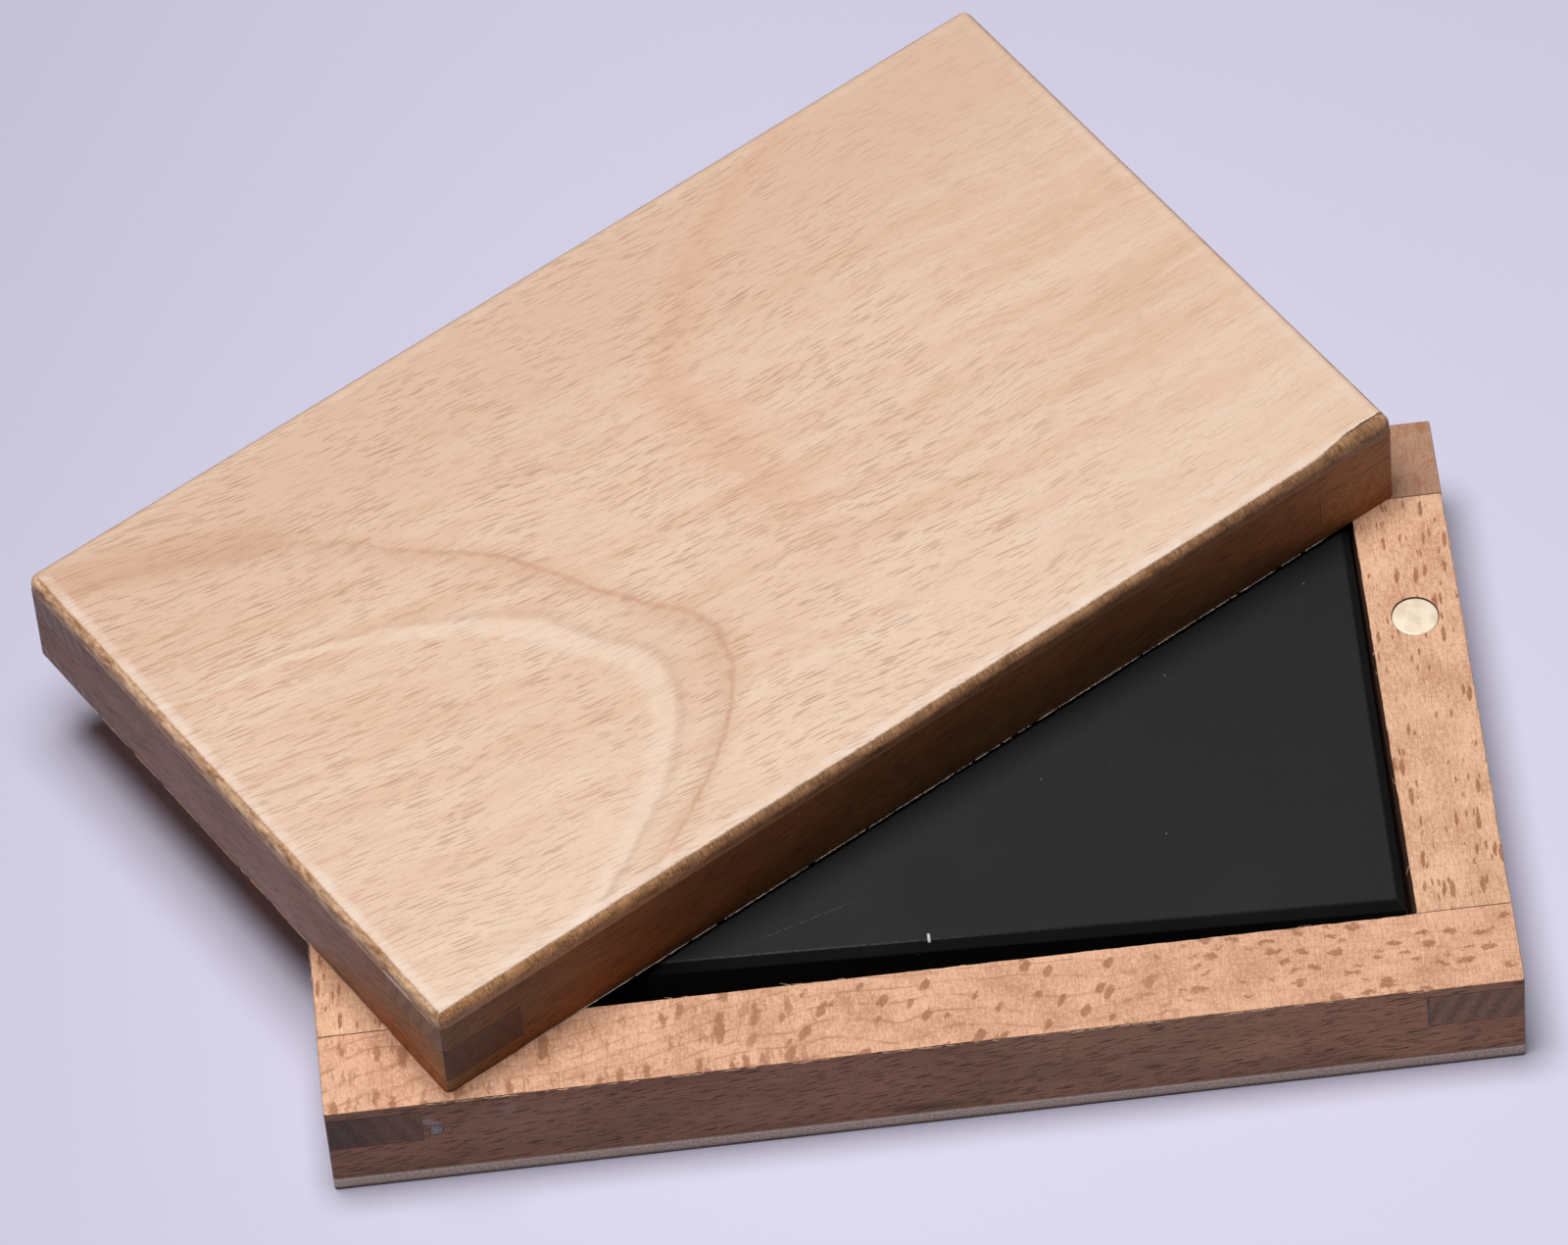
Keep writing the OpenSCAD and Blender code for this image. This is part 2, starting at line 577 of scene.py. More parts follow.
    def sway(
        self,
        vector: Socket,
        scale: float | tuple[float, float, float] = 1.0,
        detail: float = 2.0,
        roughness: float = 0.5,
    ) -> Socket:
        """Give soft noise round 0."""
        return self.take(self.cloud(vector, scale, detail, roughness), 0.5)

    def cells(self, vector: Socket, scale: float = 1.0, flat: bool = False) -> tuple[Socket, Socket]:
        """Scatter points, each with its own lot.

        Args:
            vector: Coordinates.
            scale: How close the points lie.
            flat: Whether they are scattered in X and Y alone.

        Returns:
            The distance to the nearest point and that point's lot from 0 to 1.
        """
        made = self.node("ShaderNodeTexVoronoi", voronoi_dimensions="2D" if flat else "3D")
        self.feed(made.inputs["Vector"], vector)
        made.inputs["Scale"].default_value = scale
        return made.outputs["Distance"], self.split(made.outputs["Color"])[0]

    def flecks(self, vector: Socket, marks: Marks) -> Socket:
        """Scatter short marks along a vector's X.

        Args:
            vector: Coordinates in millimetres.
            marks: Their size and number. Shuffled ones have each row slid by its own lot.

        Returns:
            1 in the marks and 0 between them.
        """
        scaled = self.stretch(vector, 1 / marks.length, 1 / marks.width, 0.0)
        if marks.shuffled:
            x, y, _ = self.split(scaled)
            lot = self.node("ShaderNodeTexWhiteNoise", noise_dimensions="1D")
            self.feed(lot.inputs["W"], self.maths("FLOOR", y))
            scaled = self.join(self.add(x, self.times(lot.outputs["Value"], self.row_slide)), y)
        far, lot = self.cells(scaled, flat=True)
        size = self.fade(lot, 0.0, marks.share, marks.radius, marks.radius * self.mark_taper)
        mark = self.fade(self.take(far, size), *self.mark_edge)
        return self.times(mark, self.maths("LESS_THAN", lot, marks.share))

    def mix(self, share: Feed, a: Feed, b: Feed, blend: str = "MIX") -> Socket:
        """Mix two colours.

        Args:
            share: How much of the second colour there is.
            a: First colour.
            b: Second colour.
            blend: Blend type.

        Returns:
            The colour.
        """
        made = self.node("ShaderNodeMix", data_type="RGBA", blend_type=blend, clamp_factor=True)
        self.feed(made.inputs[0], share)
        self.feed(made.inputs[6], a)
        self.feed(made.inputs[7], b)
        return made.outputs[2]

    def tint(self, colour: Feed, by: Feed) -> Socket:
        """Multiply two colours."""
        return self.mix(1.0, colour, by, "MULTIPLY")

    def ramp(self, value: Feed, stops: Stops) -> Socket:
        """Blend between colours that are set along a number.

        Args:
            value: The number.
            stops: Numbers in rising order, each with its colour.

        Returns:
            The colour.
        """
        first, last = stops[0][0], stops[-1][0]
        made = self.node("ShaderNodeValToRGB")
        self.feed(made.inputs["Fac"], self.times(self.take(value, first), 1 / (last - first)))
        elements = made.color_ramp.elements
        for place, _ in stops[1:-1]:
            elements.new((place - first) / (last - first))
        for element, (_, colour) in zip(elements, stops):
            element.color = (*colour, 1.0)
        return made.outputs["Color"]

    def attribute(self, name: str) -> Socket:
        """Read a number that the mesh carries."""
        return self.node("ShaderNodeAttribute", attribute_name=name).outputs["Fac"]

    def finish(
        self, colour: Socket, height: Socket, depth: float = 0.05, roughness: Socket | None = None
    ) -> bpy.types.Material:
        """Wire the shader up.

        Args:
            colour: Base colour.
            height: Bump height from 0 to 1.
            depth: Depth of the bump in millimetres.
            roughness: Roughness pattern.

        Returns:
            The material.
        """
        self.feed(self.shader.inputs["Base Color"], colour)
        bump = self.node("ShaderNodeBump")
        bump.inputs["Distance"].default_value = depth * MM
        bump.inputs["Strength"].default_value = 1.0
        self.feed(bump.inputs["Height"], height)
        self.feed(self.shader.inputs["Normal"], bump.outputs["Normal"])
        if roughness is not None:
            self.feed(self.shader.inputs["Roughness"], roughness)
        return self.material


# ---------------------------------------------------------------- finishes


@dataclass(frozen=True)
class Spot:
    """A soft spot of another colour on a rail's side, placed in millimetres.

    It fades out from inner to outer, both squares of the distance from its middle. Narrow and flat
    shrink it along and in height, lean slants it, and gritty and cloudy make its edge ragged.
    """

    along: float
    height: float
    colour: Colour
    strength: float
    narrow: float
    flat: float
    outer: float
    inner: float
    lean: float = 0.0
    gritty: float = 0.0
    cloudy: float = 0.0


SOAKED = Spot(
    -1.0, 3.6, (0.07, 0.035, 0.022), 0.55, narrow=0.12, flat=0.8, outer=1.2, inner=0.3, cloudy=0.8
)
SCUFF = Spot(
    -52.0, 13.2, (0.34, 0.28, 0.27), 0.3, narrow=1.0, flat=0.707, outer=2.6, inner=0.6, gritty=1.5
)
FILLED_TAIL = Spot(
    -62.0, 11.9, (0.42, 0.35, 0.33), 0.5, narrow=1.0, flat=0.949, outer=2.0, inner=0.9, lean=0.8, gritty=1.0
)


@dataclass(frozen=True)
class BeechFinish:
    """Beech, paler where the saw opened it than where it was sanded and handled."""

    name: str
    origin: Vector
    turn: float
    joint_at: float
    long_grain: bool = True
    rim_pale: Colour = shade(243, 196, 161)
    rim_deep: Colour = shade(198, 146, 114)
    rim_ray: Colour = shade(166, 110, 80)
    rim_line: Colour = shade(170, 116, 86)
    fibre: Colour = shade(240, 200, 168)
    joint_dark: Colour = (0.05, 0.024, 0.014)
    # Colour of the painted shade on the well's inner walls.
    well_shade: Colour = (0.02, 0.01, 0.008)
    pore_tint: Colour = (0.24, 0.18, 0.17)
    side_tints: Stops = ((-75.0, (0.315, 0.154, 0.093)), (75.0, (0.315, 0.154, 0.093)))
    # Warmer tints low on the side: painted bounce light off the base's rim.
    side_rim_bounce_tints: Stops | None = None
    low_from: float = 22.5
    low_fade: float = 5.0
    spots: tuple[Spot, ...] = ()
    pore_share: float = 0.95
    ring_share: float = 0.09
    end_tint: Colour = (0.138, 0.0745, 0.048)
    # Warmer tint low on the end: painted bounce light off the base's rim.
    end_rim_bounce_tint: Colour | None = None
    end_inner_tint: Colour | None = None
    seen_end: float = 0.0
    hidden_end_tint: Colour = (0.22, 0.118, 0.077)
    columns: Marks = Marks(8.0, 2.5, 0.62, 0.32)
    streaks: Marks = Marks(4.0, 0.9, 0.4, 0.26)
    leaning: Marks = Marks(3.9, 2.2, 0.5, 0.3)
    lenses: Marks = Marks(3.7, 1.6, 0.55, 0.28)
    rays: tuple[Marks, ...] = (Marks(5.0, 1.15, 0.36, 0.27), Marks(2.6, 0.7, 0.2, 0.22))
    pores: tuple[Marks, ...] = (
        Marks(5.6, 0.44, 0.62, shuffled=True),
        Marks(3.4, 0.34, 0.45, shuffled=True),
    )
    pore_slope: float = -0.18

    def _rim(self, r: Recipe, board: Board) -> tuple[Socket, Socket]:
        """Paint the sawn rim.

        Args:
            r: The recipe.
            board: The rail's coordinates.

        Returns:
            The colour and the height of the saw marks.
        """
        saw = r.cloud(board.place, (6.0, 0.55, 0.2) if self.long_grain else (0.5, 5.0, 0.2), 3.0, 0.65)
        grit = r.cloud(board.place, 2.6, 3.0, 0.7)
        broad = r.cloud(board.place, (0.16, 0.2, 0.2))
        tone = r.weigh((saw, 0.35), (grit, 0.4), (broad, 0.25))
        colour = r.mix(r.fade(tone, 0.37, 0.62), self.rim_deep, self.rim_pale)
        figure = self._long_figure if self.long_grain else self._short_figure
        return figure(r, board, colour, grit), saw

    def _long_figure(self, r: Recipe, board: Board, colour: Socket, grit: Socket) -> Socket:
        """Paint a long rail's growth lines and rays, upright at its left end and lying at its right.

        Args:
            r: The recipe.
            board: The rail's coordinates.
            colour: The ground.
            grit: Fine noise that breaks the figure up.

        Returns:
            The colour.
        """
        along, across, place = board.along, board.across, board.place
        wave = r.sway(place, 0.7, 3.0, 0.6)
        patchy = r.fade(grit, 0.34, 0.56, 0.6, 1.0)
        bend = r.cloud(place, (0.035, 0.05, 0.06))
        rise = r.times(r.fade(along, 10.0, -75.0), along, -0.075)
        phase = r.weigh((across, 0.46), (rise, 1.0), (bend, 6.0), (wave, 0.28))
        line = r.band(r.maths("FRACT", phase), 0.5, 0.0, 0.13)
        broken = r.fade(r.cloud(place, (0.3, 0.8, 0.5), 3.0, 0.6), 0.4, 0.58, 0.12, 0.7)
        plain = r.fade(along, 5.0, 35.0, 1.0, 0.45)
        colour = r.mix(r.times(line, plain, broken, patchy), colour, self.rim_line)

        torn = r.times(r.take(grit, 0.5), 1.3)
        x = r.add(along, r.times(wave, 1.6), torn)
        y = r.add(across, r.times(wave, 2.2), torn)
        streak = r.times(r.flecks(r.join(y, x), self.streaks), 0.7)
        upright = r.most(r.flecks(r.join(y, r.add(x, 3.0)), self.columns), streak)
        lean = r.join(r.weigh((x, 0.5), (y, 0.87)), r.weigh((x, 0.87), (y, -0.5)))
        lens = r.flecks(r.join(r.add(x, r.times(y, 0.4)), y), self.lenses)
        rays = r.most(
            r.times(upright, r.fade(along, 0.0, -22.0)),
            r.times(r.flecks(lean, self.leaning), r.band(along, 4.0, 18.0, 18.0)),
            r.times(lens, r.fade(along, 12.0, 40.0)),
        )
        return r.mix(r.times(rays, patchy, 0.9), colour, self.rim_ray)

    def _short_figure(self, r: Recipe, board: Board, colour: Socket, grit: Socket) -> Socket:
        """Paint a short rail's rays, and the dark gap at its joints.

        Args:
            r: The recipe.
            board: The rail's coordinates.
            colour: The ground.
            grit: Fine noise that breaks the figure up.

        Returns:
            The colour.
        """
        along, across = board.along, board.across
        wave = r.sway(board.place, 0.7, 3.0, 0.6)
        patchy = r.fade(grit, 0.34, 0.56, 0.6, 1.0)
        grain = r.join(r.add(along, r.times(wave, 1.5)), r.weigh((across, 1.0), (wave, 0.6), (along, 0.06)))
        rays = r.most(*(r.flecks(grain, marks) for marks in self.rays))
        colour = r.mix(r.times(rays, patchy), colour, self.rim_ray)
        gap = r.band(r.maths("ABSOLUTE", along), self.joint_at, 0.08, 0.05)
        return r.mix(r.times(gap, r.fade(across, -64.0, -69.0, 0.35, 0.9)), colour, self.joint_dark)

    def _sanded(self, r: Recipe, board: Board) -> tuple[Socket, Socket]:
        """Paint a sanded side, with the painted shade and painted bounce light that some rails' tints
        carry.

        Args:
            r: The recipe.
            board: The rail's coordinates.

        Returns:
            The colour and the height of the pores.
        """
        along, height, place = board.along, board.height, board.place
        tint = r.ramp(along, self.side_tints)
        if self.side_rim_bounce_tints is not None:
            # Painted bounce light: below low_from the side takes warmer tints that stand in for light off
            # the base's rim.
            level = r.add(height, r.times(r.sway(place, (0.08, 0.1, 0.1)), 5.0))
            low = r.fade(level, self.low_from, self.low_from - self.low_fade)
            tint = r.mix(low, tint, r.ramp(along, self.side_rim_bounce_tints))
        fibre = r.cloud(r.join(r.times(along, 0.2), r.times(height, 3.4)), 1.0, 3.0, 0.6)
        grit = r.cloud(place, 4.0, 2.0, 0.6)
        broad = r.cloud(place, (0.06, 0.16, 0.16))
        tone = r.fade(r.weigh((fibre, 0.35), (grit, 0.35), (broad, 0.3)), 0.38, 0.62)
        colour = r.tint(tint, r.mix(tone, (0.74, 0.72, 0.71), (1.24, 1.24, 1.24)))
        hue = r.fade(r.cloud(place, (0.045, 0.13, 0.13), 2.0, 0.5, 0.4), 0.4, 0.6)
        colour = r.tint(colour, r.mix(hue, (1.025, 0.98, 0.99), (0.98, 1.01, 0.99)))
        for spot in self.spots:
            z = r.take(height, spot.height)
            x = r.times(r.add(r.take(along, spot.along), r.times(z, spot.lean)), spot.narrow)
            z = r.times(z, spot.flat)
            ragged = r.weigh((grit, spot.gritty), (broad, spot.cloudy))
            here = r.fade(r.add(r.times(x, x), r.times(z, z), ragged), spot.outer, spot.inner)
            colour = r.mix(r.times(here, spot.strength), colour, spot.colour)
        slope = r.join(along, r.add(height, r.times(along, self.pore_slope)))
        pores = r.most(*(r.flecks(slope, marks) for marks in self.pores))
        dark = r.tint(colour, self.pore_tint)
        return r.mix(r.times(pores, self.pore_share), colour, dark), pores

    def _end_grain(self, r: Recipe, board: Board) -> Socket:
        """Paint the end grain.

        Args:
            r: The recipe.
            board: The rail's coordinates.

        Returns:
            The colour.
        """
        across, height, place = board.across, board.height, board.place
        bend = r.cloud(place, (0.0, 0.12, 0.12))
        pores = r.cloud(place, (2.5, 3.2, 3.2), 2.0, 0.6)
        rings = r.maths("SINE", r.weigh((r.add(across, r.times(height, 0.45)), 2.3), (bend, 2.5)))
        tone = r.fade(r.add(r.times(rings, self.ring_share), pores), 0.3, 0.7)
        tint = self.end_tint
        if self.end_inner_tint is not None:
            inward = r.fade(r.add(across, r.times(bend, 3.0)), -72.0, -64.5)
            tint = r.mix(inward, tint, self.end_inner_tint)
        if self.seen_end:
            hidden = r.maths("LESS_THAN", r.times(board.along, self.seen_end), 0.0)
            tint = r.mix(hidden, tint, self.hidden_end_tint)
        # Painted bounce light: the end is warmer low down, near the base's rim.
        if self.end_rim_bounce_tint is not None:
            low = r.fade(height, self.low_from, self.low_from - self.low_fade)
            tint = r.mix(low, tint, self.end_rim_bounce_tint)
        return r.tint(tint, r.mix(tone, (0.76, 0.74, 0.74), (1.24, 1.26, 1.26)))

    def material(self) -> bpy.types.Material:
        """Build the material for one rail.

        Returns:
            The material.
        """
        r = Recipe(self.name, 0.68, 0.28)
        board = r.board(self.origin, self.turn)
        rim, saw = self._rim(r, board)
        side, pores = self._sanded(r, board)
        cut = r.attribute("cut")
        sawn = r.maths("LESS_THAN", cut, Cut.SIDE.value - 0.5)
        colour = r.mix(sawn, side, rim)
        colour = r.mix(r.band(cut, Cut.END.value, 0.3, 0.1), colour, self._end_grain(r, board))
        # Painted shade: the well's inner walls are darkened towards black.
        colour = r.mix(r.times(r.band(cut, Cut.WELL.value, 0.3, 0.1), 0.4), colour, self.well_shade)
        colour = r.mix(r.fade(cut, Cut.FIBRE.value - 0.6, Cut.FIBRE.value - 0.4), colour, self.fibre)
        return r.finish(colour, r.add(r.times(saw, sawn), r.times(pores, -0.5)), 0.07)


@dataclass(frozen=True)
class PlyFinish:
    """Three-ply: pale outer veneer, brown cross-grain core and pale inner veneer."""

    name: str
    origin: Vector
    turn: float
    levels: tuple[float, float, float, float]
    half_length: float
    half_width: float
    lid: bool
    veneer_pale: Colour = shade(232, 202, 178)
    veneer_warm: Colour = shade(223, 185, 157)
    veneer_back: Colour = shade(219, 184, 158)
    veneer_grey: Colour = shade(206, 172, 148)
    veneer_pink: Colour = shade(222, 168, 136)
    veneer_light: Colour = shade(243, 215, 191)
    vessel: Colour = shade(176, 123, 88)
    arc_light: Colour = shade(240, 217, 194)
    arc_brown: Colour = shade(200, 152, 121)
    long_tan: Colour = (0.5, 0.265, 0.127)
    long_dark: Colour = (0.13, 0.056, 0.019)
    short_tan: Colour = (0.88, 0.58, 0.36)
    short_dark: Colour = (0.3, 0.125, 0.045)
    core_paler: Colour = (1.32, 1.26, 1.12)
    seam: Colour = (0.36, 0.2, 0.1)
    crack: Colour = shade(74, 44, 26)
    flake: Colour = (1.0, 0.9, 0.8)
    sanded: Colour = shade(244, 226, 212)
    worn_pale: Colour = (0.84, 0.69, 0.57)
    worn_speck: Colour = (0.22, 0.17, 0.14)
    worn_line: Colour = (0.8, 0.68, 0.5)
    under_edge_shade: Colour = (0.1, 0.07, 0.055)
    stained: Colour = (0.33, 0.18, 0.115)
    bared: float = 0.85
    hidden_bared: float = 0.35
    vessels: Marks = Marks(8.5, 0.46, 0.7, shuffled=True)
    small_vessels: Marks = Marks(4.6, 0.36, 0.6, shuffled=True)
    hairs: Marks = Marks(15.0, 0.75, 0.8, 0.24, shuffled=True)
    tip_level: float = -16.5
    outer_tip: float = -12.0
    inner_tip: float = -21.5

    def _limb(self, r: Recipe, rise: Socket, spread: float, reach: float) -> Socket:
        """Give how far a flame of the figure has fallen back from its tip.

        Args:
            r: The recipe.
            rise: Distance above the tip.
            spread: How much the upper limb runs out.
            reach: Distance above the tip where it has run out by that much.

        Returns:
            The distance in millimetres.
        """
        above, below = r.maths("MAXIMUM", rise, 0.0), r.maths("MINIMUM", rise, 0.0)
        run = r.times(above, 0.62)
        upper = r.take(r.maths("SQRT", r.add(r.times(run, run), 1.1)), 1.05)
        far = r.times(r.maths("POWER", r.times(above, 1 / reach), 5.0), spread)
        return r.add(upper, far, r.times(below, below, 0.04))

    def _flame(self, r: Recipe, board: Board, colour: Socket) -> Socket:
        """Paint the lid's flame figure.

        Args:
            r: The recipe.
            board: Coordinates from the middle of the face.
            colour: The ground.

        Returns:
            The colour.
        """
        u, v, place = board.along, board.across, board.place
        wander, fine = r.sway(place, 0.09, 3.0), r.sway(place, 0.5)
        rise = r.add(v, -self.tip_level, r.times(wander, 2.5))
        edge = r.weigh((wander, 3.0), (fine, 1.3), (r.sway(place, (1.5, 1.1, 1.0), 2.0, 0.6), 1.1))
        outer = r.add(u, -self.outer_tip, self._limb(r, rise, 16.0, 50.0), edge)
        inner = r.add(u, -self.inner_tip, self._limb(r, rise, 30.0, 32.5), edge)
        halo = r.times(r.fade(outer, -7.0, 0.0), r.fade(outer, 0.6, 0.0))
        around = r.times(r.band(outer, -0.3, 0.5, 3.5), r.fade(fine, -0.3, 0.3, 0.5, 1.0))
        brown = r.times(r.band(outer, 0.0, 0.12, 0.75), r.fade(fine, -0.3, 0.1, 0.4, 1.0))
        brown = r.times(brown, r.fade(u, -50.0, -28.0))
        light = r.times(r.band(inner, -1.3, 0.9, 2.4), r.fade(fine, -0.3, 0.2, 0.6, 1.0))
        trail = r.times(r.fade(inner, 6.0, 1.0), r.fade(inner, -0.2, 1.0))
        hair = r.times(r.band(inner, 1.6, 0.1, 0.9), r.fade(fine, -0.3, 0.2, 0.2, 1.0))
        hook = r.times(r.maths("POWER", r.times(r.most(r.take(v, 14.0), 0.0), 1 / 23.0), 2.0), 22.0)
        faint = r.take(r.take(u, 6.5), r.add(hook, r.times(wander, 9.0)))
        strong = r.times(r.fade(v, -24.0, -2.0), r.fade(fine, -0.25, 0.2, 0.5, 1.0))
        smear = r.times(r.band(r.add(v, r.times(u, 0.42)), 11.0, 1.0, 4.0), r.fade(u, -40.0, -52.0))
        layers = (
            (halo, 0.18, self.veneer_grey),
            (around, 0.3, self.arc_brown),
            (brown, 0.6, self.arc_brown),
            (light, 0.55, self.arc_light),
            (trail, 0.25, self.veneer_grey),
            (hair, 0.35, self.veneer_grey),
            (r.times(r.band(faint, 0.5, 1.0, 6.5), strong), 0.32, self.veneer_pink),
            (r.times(r.band(faint, 0.0, 0.3, 2.4), strong), 0.17, self.arc_brown),
            (smear, 0.4, self.arc_brown),
        )
        for share, strength, layer in layers:
            colour = r.mix(r.times(share, strength), colour, layer)
        return colour

    def _veneer(self, r: Recipe, board: Board) -> tuple[Socket, Socket]:
        """Paint the outer veneer.

        Args:
            r: The recipe.
            board: Coordinates from the middle of the face.

        Returns:
            The colour and the height of its pores.
        """
        u, v, place = board.along, board.across, board.place
        bow = r.add(r.times(u, 0.118), r.times(u, u, -0.00068))
        level = r.add(v, bow, r.times(r.sway(place, 0.03, 1.0), 5.0))
        mottle = r.cloud(r.join(r.times(u, 0.022), r.times(level, 0.24)), 1.0, 4.0, 0.6)
        colour = r.mix(r.fade(mottle, 0.34, 0.7), self.veneer_pale, self.veneer_warm)
        fibre = r.cloud(r.join(r.times(u, 0.16), r.times(level, 2.4)), 1.0, 4.0, 0.62)
        colour = r.mix(r.fade(fibre, 0.5, 0.76, 0.0, 0.5), colour, self.veneer_pink)
        colour = r.mix(r.fade(v, 4.0, 40.0, 0.0, 0.85), colour, self.veneer_back)
        colour = r.mix(r.fade(v, -8.0, -42.0, 0.0, 0.4), colour, self.veneer_light)

        grain = r.join(u, level)
        patchy = r.fade(r.cloud(place, (0.14, 0.1, 0.1)), 0.34, 0.62, 0.45, 1.0)
        small = r.times(r.flecks(grain, self.small_vessels), 0.8)
        calm = r.fade(u, 20.0, 62.0, 1.0, 0.45)
        vessels = r.times(r.most(r.flecks(grain, self.vessels), small), patchy, calm)
        hairs = r.times(r.flecks(grain, self.hairs), r.fade(u, -36.0, -56.0))
        colour = r.mix(r.times(hairs, r.fade(v, -18.0, -4.0, 0.0, 0.4)), colour, self.vessel)
        colour = r.mix(r.times(vessels, 0.52), colour, self.vessel)
        grit = r.cloud(place, 2.2, 3.0, 0.65)
        colour = r.mix(r.fade(grit, 0.42, 0.7, 0.0, 0.22), colour, self.veneer_grey)
        return (self._flame(r, board, colour) if self.lid else colour), vessels

    def material(self) -> bpy.types.Material:
        """Build the material for one face.

        Returns:
            The material.
        """
        r = Recipe(self.name, 0.62, 0.3)
        board = r.board(self.origin, self.turn)
        u, v, place = board.along, board.across, board.place
        veneer, vessels = self._veneer(r, board)

        from_side = r.take(self.half_length, r.maths("ABSOLUTE", u))
        from_front = r.take(self.half_width, r.maths("ABSOLUTE", v))
        inward = r.maths("MINIMUM", from_side, from_front)
        long_edge = r.maths("LESS_THAN", from_front, from_side)
        fine = r.cloud(place, (0.35, 0.35, 0.9), 3.0, 0.6)
        upright = r.cloud(place, (6.5, 0.8, 1.0), 4.0, 0.72)
        knots = r.cloud(place, (0.7, 0.45, 1.2), 4.0, 0.65)
        fibres = r.add(r.times(upright, long_edge), r.times(knots, r.take(1.0, long_edge)))
        specks = r.fade(r.weigh((fine, 0.35), (fibres, 0.65)), 0.34, 0.66)
        tan = r.mix(long_edge, self.short_tan, self.long_tan)
        dark = r.mix(long_edge, self.short_dark, self.long_dark)
        core = r.mix(specks, tan, dark)
        paler = r.times(r.fade(u, -20.0, 8.0 - self.half_length), long_edge)
        core = r.mix(paler, core, r.tint(core, self.core_paler))

        rough, roll = r.sway(place, 2.2, 3.0, 0.65), r.sway(place, 0.25)
        outer_z, _, core_low, inner_z = self.levels
        depth = r.times(r.take(board.height, outer_z), -1.0 if outer_z > inner_z else 1.0)
        core_to = abs(outer_z - core_low)
        seen = r.fade(r.split(r.mix(long_edge, r.join(u, u, u), r.join(v, v, v)))[0], 5.0, -5.0)
        gentle = r.times(r.band(inward, self.bared + 0.7, 0.2, 1.0), r.fade(roll, -0.2, 0.15, 0.15, 0.5))
        gentle = r.times(gentle, r.fade(seen, 0.0, 1.0, 0.3, 1.0))
        colour = r.mix(gentle, veneer, self.sanded)
        bare = r.fade(seen, 0.0, 1.0, self.hidden_bared, self.bared)
        edge = r.add(r.take(self.bared, bare), inward, r.weigh((rough, 0.9), (roll, 0.3)))
        worn = r.most(r.fade(edge, self.bared + 0.2, self.bared - 0.1), r.fade(depth, 0.45, 0.6))
        colour = r.mix(worn, colour, core)
        lip = r.times(r.band(edge, self.bared + 0.05, 0.05, 0.18), r.fade(rough, -0.1, 0.1, 0.1, 0.6))
        colour = r.mix(lip, colour, dark)
        if self.lid:
            colour = self._split_corner(r, board, colour, core, rough)
        inner = r.mix(r.fade(fine, 0.4, 0.65), self.seam, tan)
        colour = r.mix(r.fade(depth, core_to - 0.1, core_to + 0.05, 0.0, 0.5), colour, inner)
        if self.lid:
            end = r.fade(u, 1.0 - self.half_length, 0.4 - self.half_length)
            torn = r.times(r.band(v, -36.0, 2.2, 1.2), end, r.band(r.add(depth, rough), core_to, 0.1, 0.2))
            colour = r.mix(torn, colour, self.flake)
            inside = r.times(r.fade(inward, 2.0, 4.0), r.fade(depth, core_to, core_to + 0.3))
            colour = r.mix(inside, colour, veneer)
        else:
            colour = self._soil_and_shade(r, board, colour, inward, depth, rough)
        return r.finish(colour, r.weigh((vessels, -0.8), (fibres, 0.4)), 0.05)

    def _split_corner(self, r: Recipe, board: Board, colour: Socket, core: Socket, rough: Socket) -> Socket:
        """Bare more of the core near the front right corner, with a crack along the veneer.

        Args:
            r: The recipe.
            board: Coordinates from the middle of the face.
            colour: The face so far.
            core: The core's colour.
            rough: Fine noise round 0.

        Returns:
            The colour.
        """
        u, v, half = board.along, board.across, self.half_length
        opened = r.fade(u, half - 15.0, half - 4.0)
        reach = r.add(opened, self.bared, r.times(rough, 0.5))
        near = r.take(r.add(v, self.half_width), reach)
        here = r.times(r.fade(u, half - 13.0, half - 9.0), r.fade(v, 0.0, -20.0))
        colour = r.mix(r.times(r.fade(near, 0.1, -0.05), here), colour, core)
        split = r.times(r.band(near, 0.05, 0.04, 0.12), r.fade(u, half - 9.0, half - 5.0), here)
        return r.mix(split, colour, self.crack)

    def _soil_and_shade(
        self, r: Recipe, board: Board, colour: Socket, inward: Socket, depth: Socket, rough: Socket
    ) -> Socket:
        """Soil the base's edge: a pale speckled core under a light line, with painted shade where it turns
        under.

        Args:
            r: The recipe.
            board: Coordinates from the middle of the face.
            colour: The face so far.
            inward: Distance from the nearest edge.
            depth: Distance from the outer side.
            rough: Fine noise round 0.

        Returns:
            The colour.
        """
        core_to = abs(self.levels[0] - self.levels[2])
        near = r.fade(inward, 4.0, 2.0)
        colour = r.mix(r.times(near, 0.75), colour, self.worn_pale)
        speck = r.fade(r.cloud(board.place, 3.0, 3.0, 0.7), 0.4, 0.64)
        colour = r.mix(r.times(speck, near, 0.6), colour, self.worn_speck)
        colour = r.mix(r.fade(depth, core_to + 0.05, core_to + 0.2, 0.0, 0.9), colour, self.stained)
        line = r.times(r.band(depth, core_to, 0.08, 0.12), r.fade(rough, -0.12, 0.05, 0.1, 0.9))
        colour = r.mix(line, colour, self.worn_line)
        # Painted shade: the edge darkens where it turns under towards the floor.
        turned = r.times(r.fade(depth, 0.9, 0.2, 0.0, 0.75), r.fade(inward, 1.8, 0.8))
        return r.mix(turned, colour, self.under_edge_shade)


